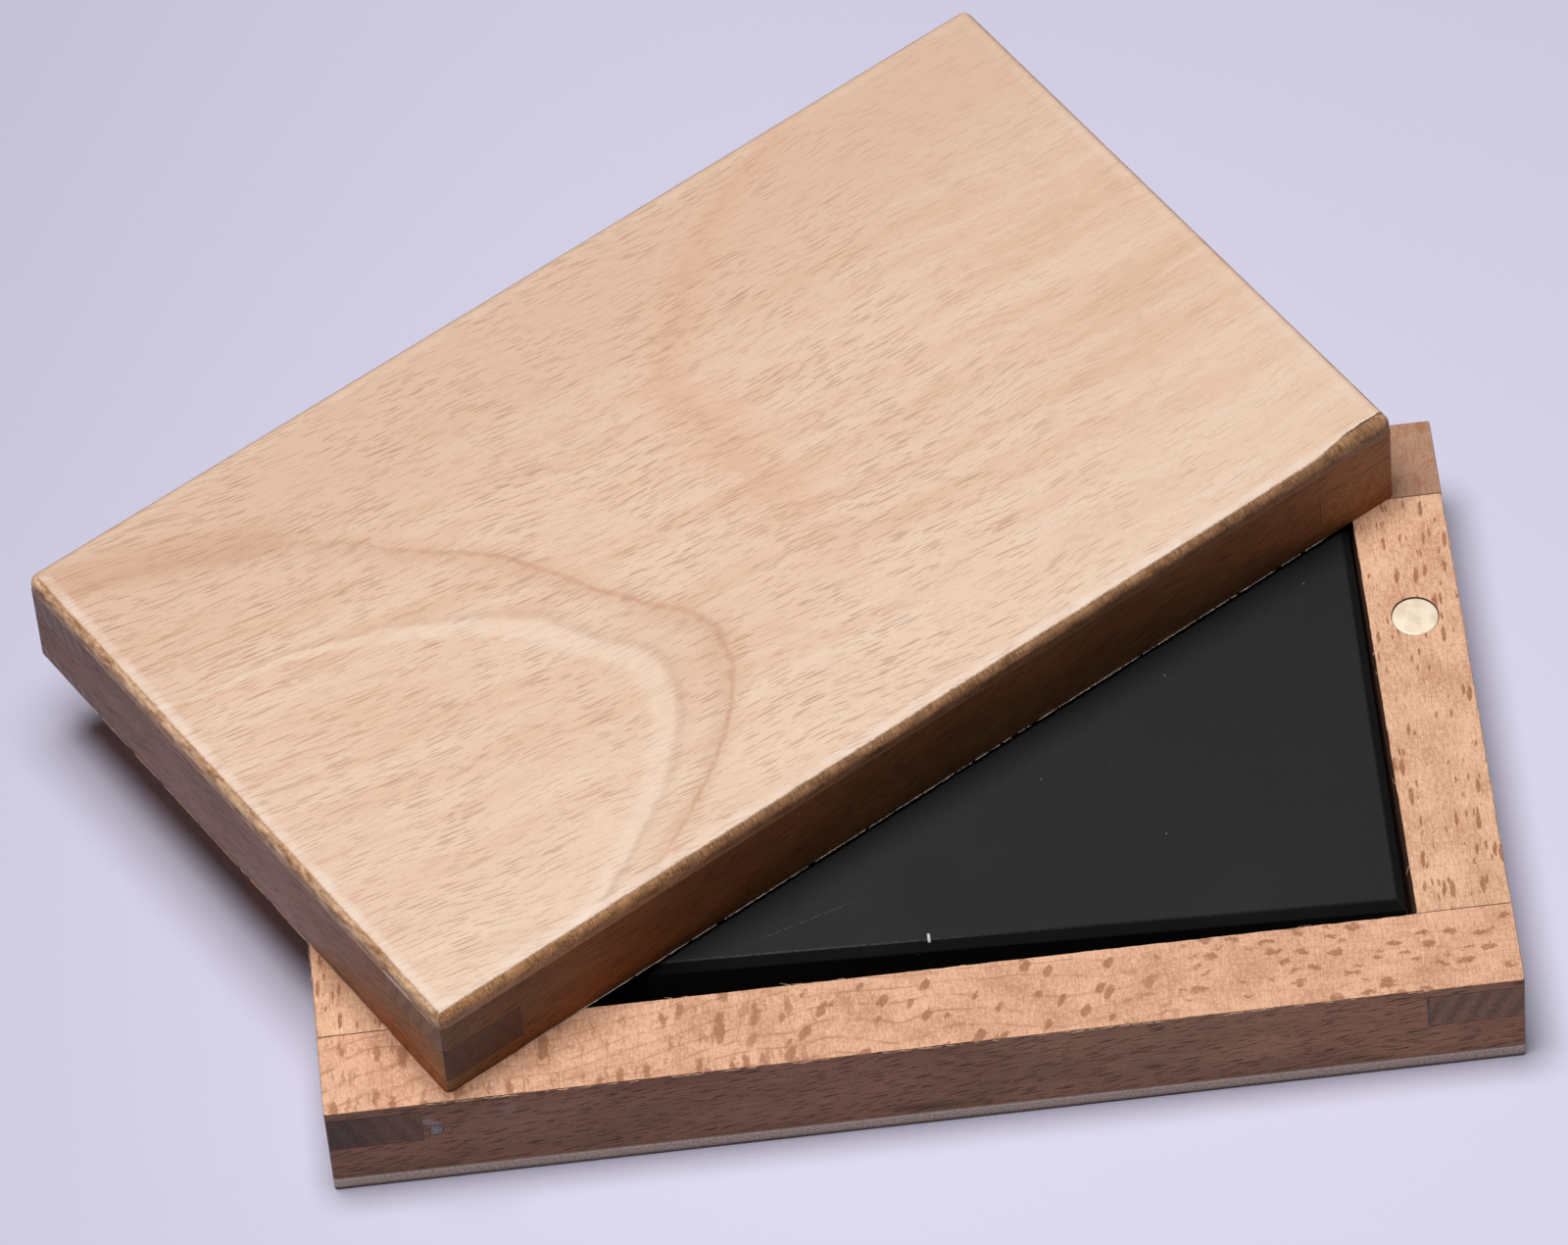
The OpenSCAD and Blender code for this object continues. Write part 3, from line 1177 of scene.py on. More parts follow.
@dataclass(frozen=True)
class NickelFinish:
    """Bright nickel on a sintered magnet, with fine scuffs."""

    name: str = "nickel"
    dull: Colour = shade(243, 222, 194)
    bright: Colour = shade(252, 236, 212)
    nick: Colour = shade(120, 108, 96)
    scuffs: Marks = Marks(3.0, 0.3, 0.35, 0.18)
    metallic: float = 0.1

    def material(self) -> bpy.types.Material:
        """Build the material.

        Returns:
            The material.
        """
        r = Recipe(self.name, 0.42, 0.5)
        r.shader.inputs["Metallic"].default_value = self.metallic
        place = r.board().place
        haze = r.cloud(place, 0.6, 3.0)
        patch = r.mix(r.fade(haze, 0.35, 0.65), self.dull, self.bright)
        colour = r.mix(r.times(r.flecks(place, self.scuffs), 0.2), patch, self.nick)
        return r.finish(colour, haze, 0.01, r.fade(haze, 0.3, 0.7, 0.35, 0.52))


@dataclass(frozen=True)
class StoneFinish:
    """Fine black stone, matt, with dust in its pores, a nick, a scratch and a painted highlight along its
    top arris.
    """

    name: str = "black_stone"
    dark: Colour = (0.0062, 0.0062, 0.0064)
    pale: Colour = (0.0122, 0.012, 0.0121)
    dust: Colour = (0.3, 0.28, 0.26)
    bevel: Colour = (0.001, 0.001, 0.001)
    # Colour of the painted highlight along the top arris.
    arris: Colour = (0.06, 0.059, 0.057)
    chalky: Colour = (0.62, 0.6, 0.58)
    nick: tuple[tuple[float, float, float], ...] = ((2.3, 0.1, 0.12), (-27.6, 0.5, 0.15))
    scratch_along: tuple[float, float] = (-0.325, 0.946)
    scratch_at: float = -17.5

    def material(self) -> bpy.types.Material:
        """Build the material.

        Returns:
            The material.
        """
        r = Recipe(self.name, 0.75, 0.35)
        board = r.board()
        x, y, place = board.along, board.across, board.place
        broad = r.cloud(place, 0.05, 3.0)
        grit = r.cloud(place, 4.5, 3.0, 0.7)
        colour = r.mix(r.fade(r.weigh((broad, 0.5), (grit, 0.5)), 0.38, 0.62), self.dark, self.pale)
        edge = r.attribute("edge")
        sloped = r.fade(edge, 0.3, 0.6)
        colour = r.mix(sloped, colour, self.bevel)
        # Painted highlight: a paler line along the top arris, strongest at the left, where the edge catches
        # the light.
        bright = r.times(r.fade(x, 25.0, -10.0, 0.2, 1.0), r.fade(grit, 0.35, 0.6, 0.2, 1.0))
        colour = r.mix(r.times(r.fade(edge, 1.4, 1.6), bright), colour, self.arris)
        far, lot = r.cells(place, 0.22)
        speck = r.times(r.fade(far, 0.035, 0.015), r.maths("LESS_THAN", lot, 0.5))
        colour = r.mix(r.times(speck, 0.6), colour, self.dust)
        drawn = r.weigh((x, self.scratch_along[0]), (y, self.scratch_along[1]), (r.take(grit, 0.5), 0.3))
        scratch = r.times(r.band(drawn, self.scratch_at, 0.02, 0.12), r.band(x, -13.0, 4.5, 3.0))
        colour = r.mix(r.times(scratch, r.fade(grit, 0.45, 0.6, 0.0, 0.18)), colour, self.dust)
        nick = [r.band(far, *size) for far, size in zip((x, y), self.nick)]
        colour = r.mix(r.times(*nick), colour, self.chalky)
        matt = r.add(r.fade(broad, 0.3, 0.7, 0.68, 0.8), r.times(sloped, 0.2))
        return r.finish(colour, grit, 0.02, matt)


@dataclass(frozen=True)
class FillerFinish:
    """Grey wood filler, sanded flush."""

    name: str = "filler"
    dark: Colour = (0.2, 0.172, 0.165)
    pale: Colour = (0.42, 0.37, 0.36)
    rim: Colour = (0.05, 0.036, 0.03)

    def material(self) -> bpy.types.Material:
        """Build the material.

        Returns:
            The material.
        """
        r = Recipe(self.name, 0.85, 0.2)
        grit = r.cloud(r.board().place, 2.4, 4.0, 0.65)
        colour = r.mix(r.fade(grit, 0.3, 0.7), self.dark, self.pale)
        return r.finish(r.mix(r.times(r.attribute("ring"), 0.8), colour, self.rim), grit)


@dataclass(frozen=True)
class FloorFinish:
    """Plain pale studio paper, with painted light falloff: brighter to the front and a little darker to the
    left.
    """

    name: str = "floor_paper"
    near: Colour = shade(218, 215, 236)
    far: Colour = shade(204, 201, 222)
    left_falloff_shade: Colour = (0.84, 0.84, 0.855)
    right_falloff_light: Colour = (1.03, 1.03, 1.03)

    def material(self) -> bpy.types.Material:
        """Build the material.

        Returns:
            The material.
        """
        r = Recipe(self.name, 0.9, 0.1)
        board = r.board()
        # Painted light falloff: brighter towards the front, darker towards the back and to the left.
        colour = r.mix(r.fade(board.across, -120.0, 220.0), self.near, self.far)
        tone = r.mix(r.fade(board.along, -190.0, 0.0), self.left_falloff_shade, self.right_falloff_light)
        r.feed(r.shader.inputs["Base Color"], r.tint(colour, tone))
        return r.material


Look = Colour | Stops | float | tuple[Spot, ...]

# Stops are millimetres along the rail, each with the colour there.
RAIL_LOOKS: dict[Half, dict[Side, dict[str, Look]]] = {
    Half.BASE: {
        Side.FRONT: {
            "side_tints": (
                (-72.0, (0.309, 0.151, 0.088)),
                (-30.0, (0.309, 0.151, 0.088)),
                (0.0, (0.325, 0.165, 0.094)),
                (40.0, (0.372, 0.188, 0.108)),
                (72.0, (0.40, 0.194, 0.11)),
            ),
            "spots": (SOAKED, SCUFF, FILLED_TAIL),
            "rim_pale": shade(242, 191, 158),
            "rim_deep": shade(197, 143, 112),
        },
        # The back rail's rim is darker, partly as its own darker wood and partly as painted shadow of the
        # lid's corner.
        Side.BACK: {"rim_pale": shade(184, 144, 118), "rim_deep": shade(155, 113, 89)},
        Side.RIGHT: {"end_tint": (0.258, 0.139, 0.083), "ring_share": 0.13, "seen_end": -1.0},
        Side.LEFT: {
            "end_tint": (0.112, 0.063, 0.043),
            "end_inner_tint": (0.182, 0.094, 0.059),
            "seen_end": 1.0,
        },
    },
    Half.LID: {
        # Besides the wood's own colour, the lid front's tints paint light: painted shade in the middle over
        # the black stone, painted bounce light from the base's right rail towards the right end, and warmer
        # painted bounce light from the rim low down on the side and the end.
        Side.FRONT: {
            "side_tints": (
                (-73.0, (0.216, 0.101, 0.04)),
                (-66.0, (0.251, 0.108, 0.041)),
                (-46.0, (0.226, 0.079, 0.0215)),
                (-26.0, (0.229, 0.091, 0.0283)),
                (3.0, (0.254, 0.107, 0.0342)),
                (31.0, (0.318, 0.133, 0.0475)),
                (54.0, (0.357, 0.142, 0.0514)),
                (70.0, (0.43, 0.181, 0.0686)),
            ),
            "side_rim_bounce_tints": (
                (-73.0, (0.308, 0.146, 0.0565)),
                (-64.0, (0.3, 0.112, 0.035)),
                (-46.0, (0.298, 0.108, 0.0266)),
                (-26.0, (0.348, 0.16, 0.055)),
                (3.0, (0.35, 0.163, 0.065)),
                (31.0, (0.44, 0.2, 0.088)),
                (54.0, (0.349, 0.155, 0.065)),
                (70.0, (0.441, 0.186, 0.067)),
            ),
            "end_tint": (0.342, 0.19, 0.113),
            "end_rim_bounce_tint": (0.46, 0.185, 0.066),
            "seen_end": -1.0,
            "fibre": (0.95, 0.88, 0.8),
            "pore_share": 0.6,
        },
        # Besides the wood's own colour, the lid left side's tints paint bounce light from the base's rim:
        # warmer low down and towards its front end.
        Side.LEFT: {
            "side_tints": (
                (-41.0, (0.328, 0.183, 0.134)),
                (-25.0, (0.39, 0.226, 0.165)),
                (-3.0, (0.38, 0.209, 0.157)),
                (15.0, (0.385, 0.205, 0.149)),
                (25.0, (0.437, 0.246, 0.176)),
                (35.0, (0.385, 0.193, 0.105)),
                (42.0, (0.438, 0.2, 0.089)),
            ),
            "side_rim_bounce_tints": (
                (-41.0, (0.328, 0.181, 0.133)),
                (-25.0, (0.388, 0.225, 0.17)),
                (-3.0, (0.42, 0.235, 0.173)),
                (15.0, (0.456, 0.256, 0.194)),
                (25.0, (0.439, 0.239, 0.148)),
                (35.0, (0.515, 0.211, 0.072)),
                (42.0, (0.494, 0.193, 0.062)),
            ),
            "end_tint": (0.14, 0.059, 0.028),
            "seen_end": 1.0,
            "ring_share": 0.04,
            "pore_share": 0.55,
        },
        Side.BACK: {"end_tint": (0.33, 0.2, 0.165), "seen_end": 1.0},
        Side.RIGHT: {"end_tint": (0.39, 0.17, 0.062), "ring_share": 0.03, "seen_end": -1.0},
    },
}


# ---------------------------------------------------------------- sub-assemblies


@dataclass
class RailFrame:
    """The four finger-jointed rails of one half."""

    layout: CaseLayout
    half: Half
    corner_round: float
    fuzz: float
    looks: dict[Side, dict[str, Look]]
    joint_ease: float = 0.05 * MM
    flush: float = 0.02 * MM
    arris_step: float = 1.3 * MM
    arris_wear: float = 0.16 * MM
    arris_reach: float = 0.12 * MM
    wear_grain: float = 0.8 / MM
    wear_apart: float = 7.3
    rim_reach: float = 0.3 * MM
    pocket_gap: float = 0.1 * MM
    pocket_depth: float = 3.1 * MM
    pocket_margin: float = 1.2 * MM
    mouth_cuts: int = 7
    mouth_inset: float = 0.4 * MM
    magnet_radius: float = 3.0 * MM
    fuzz_in_front: float = 0.88
    fuzz_length: tuple[float, float] = (0.4 * MM, 1.6 * MM)
    fuzz_thick: tuple[float, float] = (0.04 * MM, 0.075 * MM)
    fuzz_tip: float = 0.012 * MM
    fuzz_rooted: float = 0.01 * MM
    fuzz_sunk: float = 0.09 * MM

    def _half_span(self, side: Side) -> float:
        """Give half a rail's length over its corners."""
        return (self.layout.length if side.is_long else self.layout.width) / 2

    def _front(self, side: Side) -> float:
        """Give where a rail's outer side lies, as it lies along X."""
        return -(self.layout.width if side.is_long else self.layout.length) / 2

    def _keeps(self, side: Side, level: float) -> bool:
        """Say whether a rail keeps its corners at a level."""
        finger = int((level - self.layout.blank_level(self.half)) // self.layout.finger)
        return finger % 2 == (0 if side.is_long else 1)

    def _levels(self) -> list[float]:
        """List the levels where the fingers of this half change.

        Returns:
            The levels, from the lowest up.
        """
        low, high = self.layout.rail_levels(self.half)
        start, step = self.layout.blank_level(self.half), self.layout.finger
        count = int((high - start) / step)
        steps = [start + step * i for i in range(1, count + 1)]
        return [z for z in steps if low + NEAR < z < high - NEAR]

    def _body(self, side: Side) -> bmesh.types.BMesh:
        """Saw out one rail with its fingers, lying along X with its outer side to the front.

        Args:
            side: The rail's side.

        Returns:
            The rail.
        """
        low, high = self.layout.rail_levels(self.half)
        wide, front = self.layout.rail_width, self._front(side)
        reach = self._half_span(side) - wide
        bm = Bench.block(Vector((-reach, front + self.flush, low)), Vector((reach, front + wide, high)))
        for level in self._levels():
            Bench.slice(bm, level, 2)
        ends = [f for f in bm.faces if abs(f.normal.x) > 0.9]
        for face in [f for f in ends if self._keeps(side, f.calc_center_median().z)]:
            run = Vector((math.copysign(wide - self.flush, face.normal.x), 0.0, 0.0))
            Bench.grow(bm, face, run)
            bmesh.ops.delete(bm, geom=[face], context="FACES_ONLY")
        bmesh.ops.remove_doubles(bm, verts=bm.verts, dist=WELD)
        bmesh.ops.recalc_face_normals(bm, faces=bm.faces)
        return bm

    def _sink_pocket(self, bm: bmesh.types.BMesh, centre: Vector) -> None:
        """Bore a magnet's pocket into the rim.

        Args:
            bm: The rail.
            centre: Middle of the pocket on the rim.
        """
        reach = self.magnet_radius + self.pocket_margin
        Bench.slice(bm, centre.x - reach, 0)
        Bench.slice(bm, centre.x + reach, 0)
        for level in (centre.y - reach, centre.y + reach):
            patch = self._rim_face(bm, centre)
            near = [patch, *patch.edges, *patch.verts]
            place, across = (0.0, level, 0.0), (0.0, 1.0, 0.0)
            bmesh.ops.bisect_plane(bm, geom=near, dist=WELD, plane_co=place, plane_no=across)
        sides = list(self._rim_face(bm, centre).edges)
        bmesh.ops.subdivide_edges(bm, edges=sides, cuts=self.mouth_cuts)
        mouth = self._rim_face(bm, centre)
        bmesh.ops.inset_individual(bm, faces=[mouth], thickness=self.mouth_inset)
        for vert in mouth.verts:
            spoke = vert.co - centre
            vert.co = centre + spoke.normalized() * (self.magnet_radius + self.pocket_gap)
        bottom = bmesh.ops.extrude_discrete_faces(bm, faces=[mouth])["faces"][0]
        down = (0.0, 0.0, -self.half.rim_up * self.pocket_depth)
        bmesh.ops.translate(bm, vec=down, verts=list(bottom.verts))

    def _rim_face(self, bm: bmesh.types.BMesh, centre: Vector) -> bmesh.types.BMFace:
        """Find the face of the rim whose middle is nearest to a point.

        Args:
            bm: The rail.
            centre: The point, which lies on the rim.

        Returns:
            The face.
        """
        level = (f for f in bm.faces if f.normal.z * self.half.rim_up > 0.9)
        rim = (f for f in level if abs(f.calc_center_median().z - centre.z) < NEAR)
        return min(rim, key=lambda f: (f.calc_center_bounds() - centre).length)

    def _round_corners(self, bm: bmesh.types.BMesh, side: Side) -> None:
        """Round the case's vertical corners on this rail's ends, and ease the rest.

        Args:
            bm: The rail.
            side: The rail's side.
        """
        corner = [
            e
            for e in Bench.sharp_edges(bm)
            if Bench.rise(e) > NEAR
            and abs(abs(e.verts[0].co.x) - self._half_span(side)) < NEAR
            and abs(e.verts[0].co.y - self._front(side)) < NEAR
            and abs(e.verts[0].co.x - e.verts[1].co.x) < LEVEL
        ]
        Bench.ease(bm, corner, self.corner_round, 4)
        Bench.ease(bm, Bench.sharp_edges(bm), self.joint_ease, 1)

    def _wear_arris(self, bm: bmesh.types.BMesh, side: Side, seed: int) -> None:
        """Make the sawn arrises of the rim slightly ragged.

        Args:
            bm: The rail.
            side: Its side.
            seed: Number that sets its own raggedness.
        """
        half_span = self._half_span(side)
        count = int(2 * half_span / self.arris_step)
        for i in range(1, count):
            Bench.slice(bm, -half_span + i * 2 * half_span / count, 0)
        reach = half_span - self.layout.rail_width
        high = (v for v in bm.verts if abs(v.co.z - self.layout.rim_z) <= self.arris_reach)
        rim = [v for v in high if abs(v.co.x) < reach]
        front = self._front(side)
        for edge, inward in ((front, 1.0), (front + self.layout.rail_width, -1.0)):
            for vert in rim:
                if abs(vert.co.y - edge) < self.arris_reach:
                    at = Vector((vert.co.x * self.wear_grain, edge / MM, seed * self.wear_apart))
                    vert.co.y += inward * self.arris_wear * (0.5 + 0.5 * noise.noise(at))

    def _mark_cuts(self, bm: bmesh.types.BMesh, side: Side) -> None:
        """Write on each face how it was cut.

        Args:
            bm: The rail.
            side: The rail's side.
        """
        layer = bm.faces.layers.float.new("cut")
        middle = self._front(side) + self.layout.rail_width / 2
        for face in bm.faces:
            normal, centre = face.normal, face.calc_center_median()
            if abs(normal.z) > 0.75 and abs(centre.z - self.layout.rim_z) < self.rim_reach:
                face[layer] = Cut.RIM.value
            elif abs(normal.x) > 0.75:
                face[layer] = Cut.END.value
            elif centre.y < middle:
                face[layer] = Cut.SIDE.value
            else:
                face[layer] = Cut.WELL.value

    def _add_fuzz(self, bm: bmesh.types.BMesh, side: Side, seed: int) -> None:
        """Leave torn fibres along the sawn arrises.

        Args:
            bm: The rail.
            side: Its side.
            seed: Number that scatters them.
        """
        chance = random.Random(seed)
        layer = bm.faces.layers.float["cut"]
        front = self._front(side) + self.flush
        inner = self._front(side) + self.layout.rail_width
        reach = self._half_span(side) - self.layout.rail_width
        up = self.half.rim_up
        for _ in range(int(reach / MM * self.fuzz)):
            at_front = chance.random() < self.fuzz_in_front
            outward = -1.0 if at_front else 1.0
            length = chance.uniform(*self.fuzz_length)
            lean = chance.choice((-1.0, 1.0)) * chance.uniform(0.7, 1.0)
            out = chance.uniform(0.0, 0.1) if at_front else chance.uniform(0.05, 0.3)
            run = Vector((lean, outward * out, -up * chance.uniform(0.0, 0.12))).normalized()
            start = Vector((chance.uniform(-reach, reach), front if at_front else inner, self.layout.rim_z))
            start += Vector((0.0, -outward * self.fuzz_rooted, -up * self.fuzz_sunk))
            turn = run.to_track_quat("Z", "Y").to_matrix().to_4x4()
            made = bmesh.ops.create_cone(
                bm,
                cap_ends=True,
                segments=3,
                radius1=chance.uniform(*self.fuzz_thick),
                radius2=self.fuzz_tip,
                depth=length,
                matrix=Matrix.Translation(start + run * length * 0.45) @ turn,
            )
            for face in {f for v in made["verts"] for f in v.link_faces}:
                face[layer] = Cut.FIBRE.value

    def build(self, pockets: dict[Side, Vector]) -> list[bpy.types.Object]:
        """Build and dress the four rails.

        Args:
            pockets: Middle of the magnet pocket on each rail that has one.

        Returns:
            The rails.
        """
        pieces = []
        for side in Side:
            node = f"{self.half.value}_{side.name.lower()}_rail"
            bm = self._body(side)
            self._round_corners(bm, side)
            if side in pockets:
                self._sink_pocket(bm, side.turn.inverted() @ pockets[side])
            self._wear_arris(bm, side, side.value + 1)
            self._mark_cuts(bm, side)
            self._add_fuzz(bm, side, side.value + 11)
            place = self.layout.swing(self.half) @ side.turn
            finish = BeechFinish(
                name=f"{node}_beech",
                origin=place.translation,
                turn=place.to_euler().z,
                joint_at=(self._half_span(side) - self.layout.rail_width) / MM,
                long_grain=side.is_long,
                **self.looks.get(side, {}),
            )
            piece = Bench.finish(bm, f"look_{node}", place, finish.material())
            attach(piece, self.half.value)
            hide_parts(node)
            pieces.append(piece)
        return pieces


@dataclass
class PlyFace:
    """The three-ply face that closes one half."""

    layout: CaseLayout
    half: Half
    corner_round: float
    corner_steps: int = 6
    edge_round: float = 1.5 * MM
    edge_steps: int = 7

    def _levels(self) -> tuple[float, float, float, float]:
        """Give the levels of the outer side, the two glue lines and the inner side.

        Returns:
            The four levels, in metres.
        """
        core_low, core_high = (corner.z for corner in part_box(f"{self.half.value}_core_veneer"))
        if self.half is Half.BASE:
            return self.layout.underside_z, core_low, core_high, self.layout.base_floor_z
        return self.layout.top_z, core_high, core_low, self.layout.lid_ceiling_z

    def _body(self) -> bmesh.types.BMesh:
        """Make the whole face with its outer edges rounded.

        Returns:
            The face.
        """
        outer, *_, inner = self._levels()
        half_l, half_w = self.layout.length / 2, self.layout.width / 2
        low, high = sorted((outer, inner))
        bm = Bench.block(Vector((-half_l, -half_w, low)), Vector((half_l, half_w, high)))
        upright = [e for e in bm.edges if Bench.rise(e) > NEAR]
        Bench.ease(bm, upright, self.corner_round, self.corner_steps)
        rim = [e for e in bm.edges if all(abs(v.co.z - outer) < LEVEL for v in e.verts)]
        Bench.ease(bm, rim, self.edge_round, self.edge_steps)
        return bm

    def build(self) -> list[bpy.types.Object]:
        """Build and dress the three layers.

        Returns:
            The layers.
        """
        outer, *glue, inner = self._levels()
        layers = {
            "face_veneer": (outer, glue[0]),
            "core_veneer": glue,
            "inner_veneer": (glue[1], inner),
        }
        place = self.layout.swing(self.half)
        finish = PlyFinish(
            name=f"{self.half.value}_three_ply",
            origin=place.translation,
            turn=place.to_euler().z,
            levels=tuple(z / MM for z in self._levels()),
            half_length=self.layout.length / MM / 2,
            half_width=self.layout.width / MM / 2,
            lid=self.half is Half.LID,
        ).material()
        pieces = []
        for name, levels in layers.items():
            bm = self._body()
            low, high = sorted(levels)
            if low > min(outer, inner) + LEVEL:
                Bench.slice(bm, low, 2, keep=1)
            if high < max(outer, inner) - LEVEL:
                Bench.slice(bm, high, 2, keep=-1)
            node = f"{self.half.value}_{name}"
            piece = Bench.finish(bm, f"look_{node}", place, finish)
            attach(piece, self.half.value)
            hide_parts(node)
            pieces.append(piece)
        return pieces


@dataclass
class Magnets:
    """The four disc magnets in the left and right rails."""

    rounding: float = 0.25 * MM
    rounding_steps: int = 4
    rounded_from: float = 60.0
    steps: int = 48

    def build(self) -> list[bpy.types.Object]:
        """Build and dress the magnets.

        Returns:
            The magnets.
        """
        finish = NickelFinish().material()
        pieces = []
        bodies = {"base_pivot": "base", "base_catch": "base", "lid_pivot": "lid_pivot", "lid_catch": "lid"}
        for name, body in bodies.items():
            node = f"{name}_magnet"
            low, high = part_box(node)
            radius = (high.x - low.x) / 2
            bm = bmesh.new()
            made = bmesh.ops.create_circle(bm, cap_ends=True, radius=radius, segments=self.steps)
            Bench.grow(bm, made["verts"][0].link_faces[0], Vector((0.0, 0.0, high.z - low.z)))
            bmesh.ops.recalc_face_normals(bm, faces=bm.faces)
            rims = Bench.sharp_edges(bm, self.rounded_from)
            Bench.ease(bm, rims, self.rounding, self.rounding_steps)
            place = Matrix.Translation(((low.x + high.x) / 2, (low.y + high.y) / 2, low.z))
            piece = Bench.finish(bm, f"look_{node}", place, finish)
            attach(piece, body)
            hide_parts(node)
            pieces.append(piece)
        return pieces


@dataclass
class StoneSlab:
    """The flat black stone, a little narrower at its left end."""

    length: float = 124.0 * MM
    width: float = 62.0 * MM
    taper: float = 3.1 * MM
    chamfer: float = 1.1 * MM
    skew: float = 0.5 * MM
    right: float = 0.3 * MM
    back: float = 0.5 * MM
    arris: float = 0.14 * MM
    arris_steps: int = 3

    def build(self) -> bpy.types.Object:
        """Build and dress the stone.

        Returns:
            The stone.
        """
        low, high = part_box("stone_slab")
        half_l, half_w = self.length / 2, self.width / 2
        bm = Bench.block(Vector((-half_l, -half_w, low.z)), Vector((half_l, half_w, high.z)))
        cut_back = [v for v in bm.verts if v.co.x < 0 and v.co.y < 0]
        bmesh.ops.translate(bm, vec=(0.0, self.taper, 0.0), verts=cut_back)
        flat = [e for e in bm.edges if Bench.rise(e) < LEVEL]
        Bench.ease(bm, flat, self.chamfer, 1)
        layer = bm.faces.layers.float.new("edge")
        for face in bm.faces:
            face[layer] = 0.0 if abs(face.normal.z) > 0.95 else 1.0
        for face in Bench.ease(bm, Bench.sharp_edges(bm), self.arris, self.arris_steps):
            face[layer] = 2.0 if face.normal.z > 0.75 else 1.0
        turn = -math.asin(2 * self.skew / self.length)
        place = Matrix.Translation((self.right, self.back, 0.0)) @ Matrix.Rotation(turn, 4, "Z")
        piece = Bench.finish(bm, "look_stone_slab", place, StoneFinish().material())
        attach(piece, "base")
        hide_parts("stone_slab")
        return piece


@dataclass
class JointFiller:
    """Grey filler in a dent and along a crack beside the front corner joints."""

    steps: int = 28
    ring: float = 0.16 * MM
    ring_share: float = 0.2
    lump_size: float = 0.22
    lump_mean: float = 0.96
    lump_grain: float = 3.2

    def build(self) -> bpy.types.Object:
        """Build and dress both fillings.

        Returns:
            The fillings.
        """
        bm = bmesh.new()
        layer = bm.faces.layers.float.new("ring")
        for low, high in self._patches():
            size, centre = high - low, (high + low) / 2
            made = bmesh.ops.create_circle(bm, cap_ends=True, radius=0.5, segments=self.steps)["verts"]
            mouth = made[0].link_faces[0]
            for vert in made:
                lump = noise.noise(vert.co * self.lump_grain + centre / MM)
                vert.co *= min(self.lump_mean + self.lump_size * lump, 1.0)
            stand = Matrix.Diagonal((size.x, 1.0, size.z, 1.0)) @ Matrix.Rotation(math.pi / 2, 4, "X")
            place = Matrix.Translation((centre.x, low.y, centre.z))
            bmesh.ops.transform(bm, matrix=place @ stand, verts=made)
            Bench.grow(bm, mouth, Vector((0.0, size.y, 0.0)))
            ring = min(self.ring, size.x * self.ring_share)
            for face in bmesh.ops.inset_individual(bm, faces=[mouth], thickness=ring)["faces"]:
                face[layer] = 1.0
        piece = Bench.finish(bm, "look_joint_filler", Matrix.Identity(4), FillerFinish().material())
        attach(piece, "base")
        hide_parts("joint_filler")
        return piece

    def _patches(self) -> list[tuple[Vector, Vector]]:
        """Give the lowest and highest corner of each filling, from the frame's loose triangles.

        Returns:
            A pair of corners for each filling, the left one first.
        """
        cloud = [v.co for v in frame["nodes"]["joint_filler"].data.vertices]
        patches = []
        for side in (-1.0, 1.0):
            mine = [co for co in cloud if co.x * side > 0]
            low = Vector([min(co[i] for co in mine) for i in range(3)])
            high = Vector([max(co[i] for co in mine) for i in range(3)])
            patches.append((low, high))
        return patches


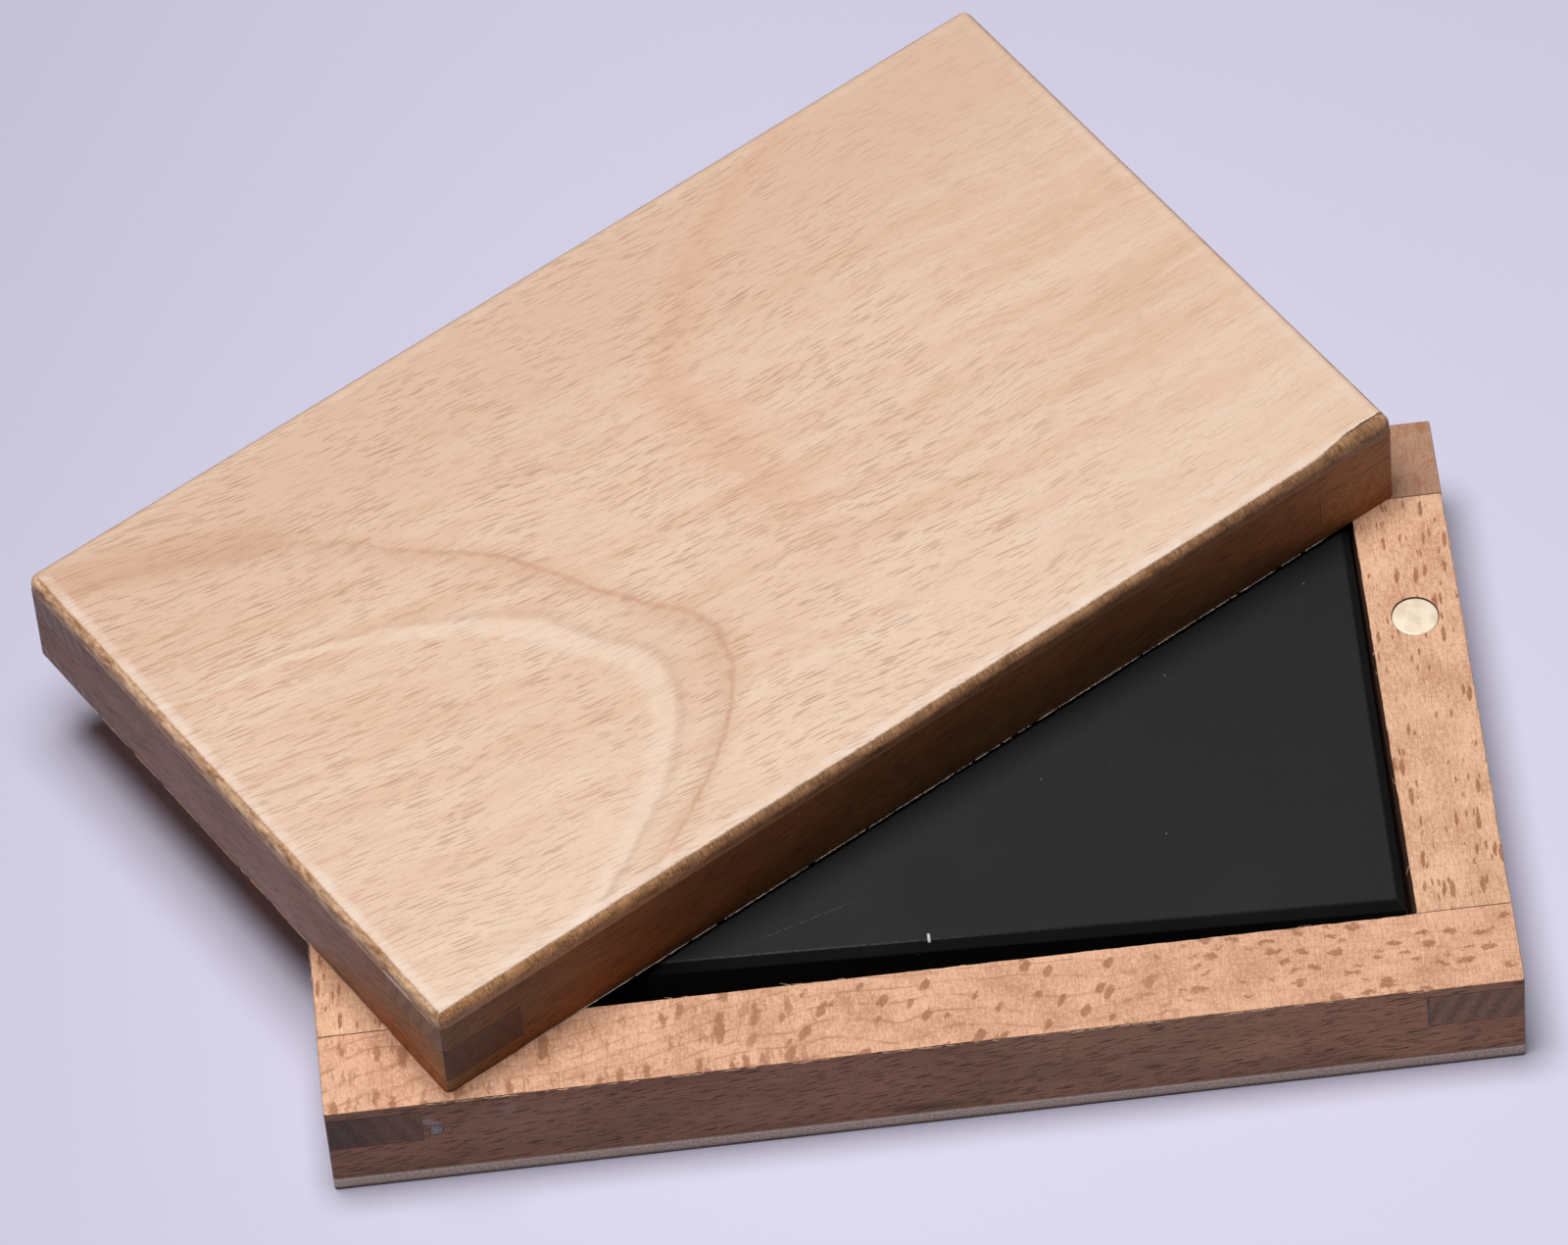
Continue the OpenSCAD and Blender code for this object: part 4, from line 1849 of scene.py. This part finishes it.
@dataclass
class Studio:
    """Floor, light and camera."""

    floor_size: float = 4.0
    light_height: float = 1.1
    light_left: float = math.radians(5.0)
    light_front: float = math.radians(-1.0)
    light_spread: float = math.radians(15.0)
    level: float = 1.07
    aim: Vector = Vector((-10.82 * MM, 23.97 * MM, 16.0 * MM))
    distance: float = 1.4508
    azimuth: float = math.radians(-1.348)
    elevation: float = math.radians(51.98)
    roll: float = math.radians(-5.37)
    lens: float = 260.8
    sensor: float = 36.0
    far_clip: float = 50.0
    air: Colour = (0.9, 0.92, 1.0)
    air_strength: float = 0.01

    def build_floor(self) -> bpy.types.Object:
        """Lay the floor.

        Returns:
            The floor.
        """
        bm = bmesh.new()
        bmesh.ops.create_grid(bm, x_segments=1, y_segments=1, size=self.floor_size / 2)
        floor = Bench.finish(bm, "studio_floor", Matrix.Identity(4), FloorFinish().material())
        if floor.data.polygons[0].normal.z < 0:
            floor.data.flip_normals()
        return floor

    def build_light(self) -> bpy.types.Object:
        """Hang one soft box nearly overhead.

        Returns:
            The light.
        """
        data = bpy.data.lights.new("soft_box", "AREA")
        data.shape = "DISK"
        data.size = 2 * self.light_height * math.tan(self.light_spread)
        left, front = math.tan(self.light_left), math.tan(self.light_front)
        offset = Vector((-left, -front, 1.0)) * self.light_height
        data.energy = self.level * math.pi**2 * offset.length**2
        light = bpy.data.objects.new("soft_box", data)
        light.location = offset
        light.rotation_euler = offset.to_track_quat("Z", "Y").to_euler()
        light.visible_camera = False
        bpy.context.scene.collection.objects.link(light)
        world = bpy.data.worlds.new("studio_air")
        world.use_nodes = True
        background = world.node_tree.nodes["Background"]
        background.inputs["Color"].default_value = (*self.air, 1.0)
        background.inputs["Strength"].default_value = self.air_strength
        bpy.context.scene.world = world
        return light

    def build_camera(self) -> bpy.types.Object:
        """Set the camera up.

        Returns:
            The camera.
        """
        level = Vector((math.sin(self.azimuth), -math.cos(self.azimuth), 0.0))
        back = level * math.cos(self.elevation) + Vector((0.0, 0.0, math.sin(self.elevation)))
        right = Vector((0.0, 0.0, 1.0)).cross(back).normalized()
        up = back.cross(right)
        tilt = Matrix.Rotation(self.roll, 3, back)
        axes = Matrix((tilt @ right, tilt @ up, back)).transposed()
        data = bpy.data.cameras.new("camera")
        data.lens = self.lens
        data.sensor_width = self.sensor
        data.clip_end = self.far_clip
        camera = bpy.data.objects.new("camera", data)
        camera.matrix_world = Matrix.Translation(self.aim + back * self.distance) @ axes.to_4x4()
        bpy.context.scene.collection.objects.link(camera)
        bpy.context.scene.camera = camera
        return camera


@dataclass(frozen=True)
class Wear:
    """How worn a half is: its rounded corners, and its torn fibres to each millimetre of half a rail."""

    rail_round: float
    ply_round: float
    fuzz: float


WEAR = {Half.BASE: Wear(0.35 * MM, 0.4 * MM, 1.5), Half.LID: Wear(0.9 * MM, 1.3 * MM, 5.0)}


@dataclass
class FlatStoneCase:
    """The whole case: base, lid, magnets and stone."""

    layout: CaseLayout

    def _magnet_centre(self, name: str, half: Half) -> Vector:
        """Give a magnet's middle on the rim, with the lid closed.

        Args:
            name: The magnet's half and place.
            half: Its half.

        Returns:
            The point.
        """
        low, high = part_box(f"{name}_magnet")
        centre = Vector(((low.x + high.x) / 2, (low.y + high.y) / 2, self.layout.rim_z))
        return self.layout.swing(half).inverted() @ centre

    def build(self) -> list[bpy.types.Object]:
        """Build every piece in order.

        Returns:
            The pieces.
        """
        pieces = []
        for half in Half:
            pockets = {
                Side.LEFT: self._magnet_centre(f"{half.value}_pivot", half),
                Side.RIGHT: self._magnet_centre(f"{half.value}_catch", half),
            }
            wear = WEAR[half]
            rails = RailFrame(self.layout, half, wear.rail_round, wear.fuzz, RAIL_LOOKS[half])
            pieces += rails.build(pockets)
            pieces += PlyFace(self.layout, half, wear.ply_round).build()
        pieces += Magnets().build()
        pieces.append(StoneSlab().build())
        pieces.append(JointFiller().build())
        return pieces


def main() -> None:
    """Build the scene and report each piece."""
    logging.basicConfig(level=logging.INFO, format="%(name)s: %(message)s")
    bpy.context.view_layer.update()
    studio = Studio()
    studio.build_camera()
    studio.build_light()
    studio.build_floor()
    bpy.context.scene.view_settings.view_transform = "Standard"
    layout = CaseLayout.from_frame(frame["joints"])
    for piece in FlatStoneCase(layout).build():
        LOG.info("%s: %d faces", piece.name, len(piece.data.polygons))


if __name__ == "__main__":
    main()
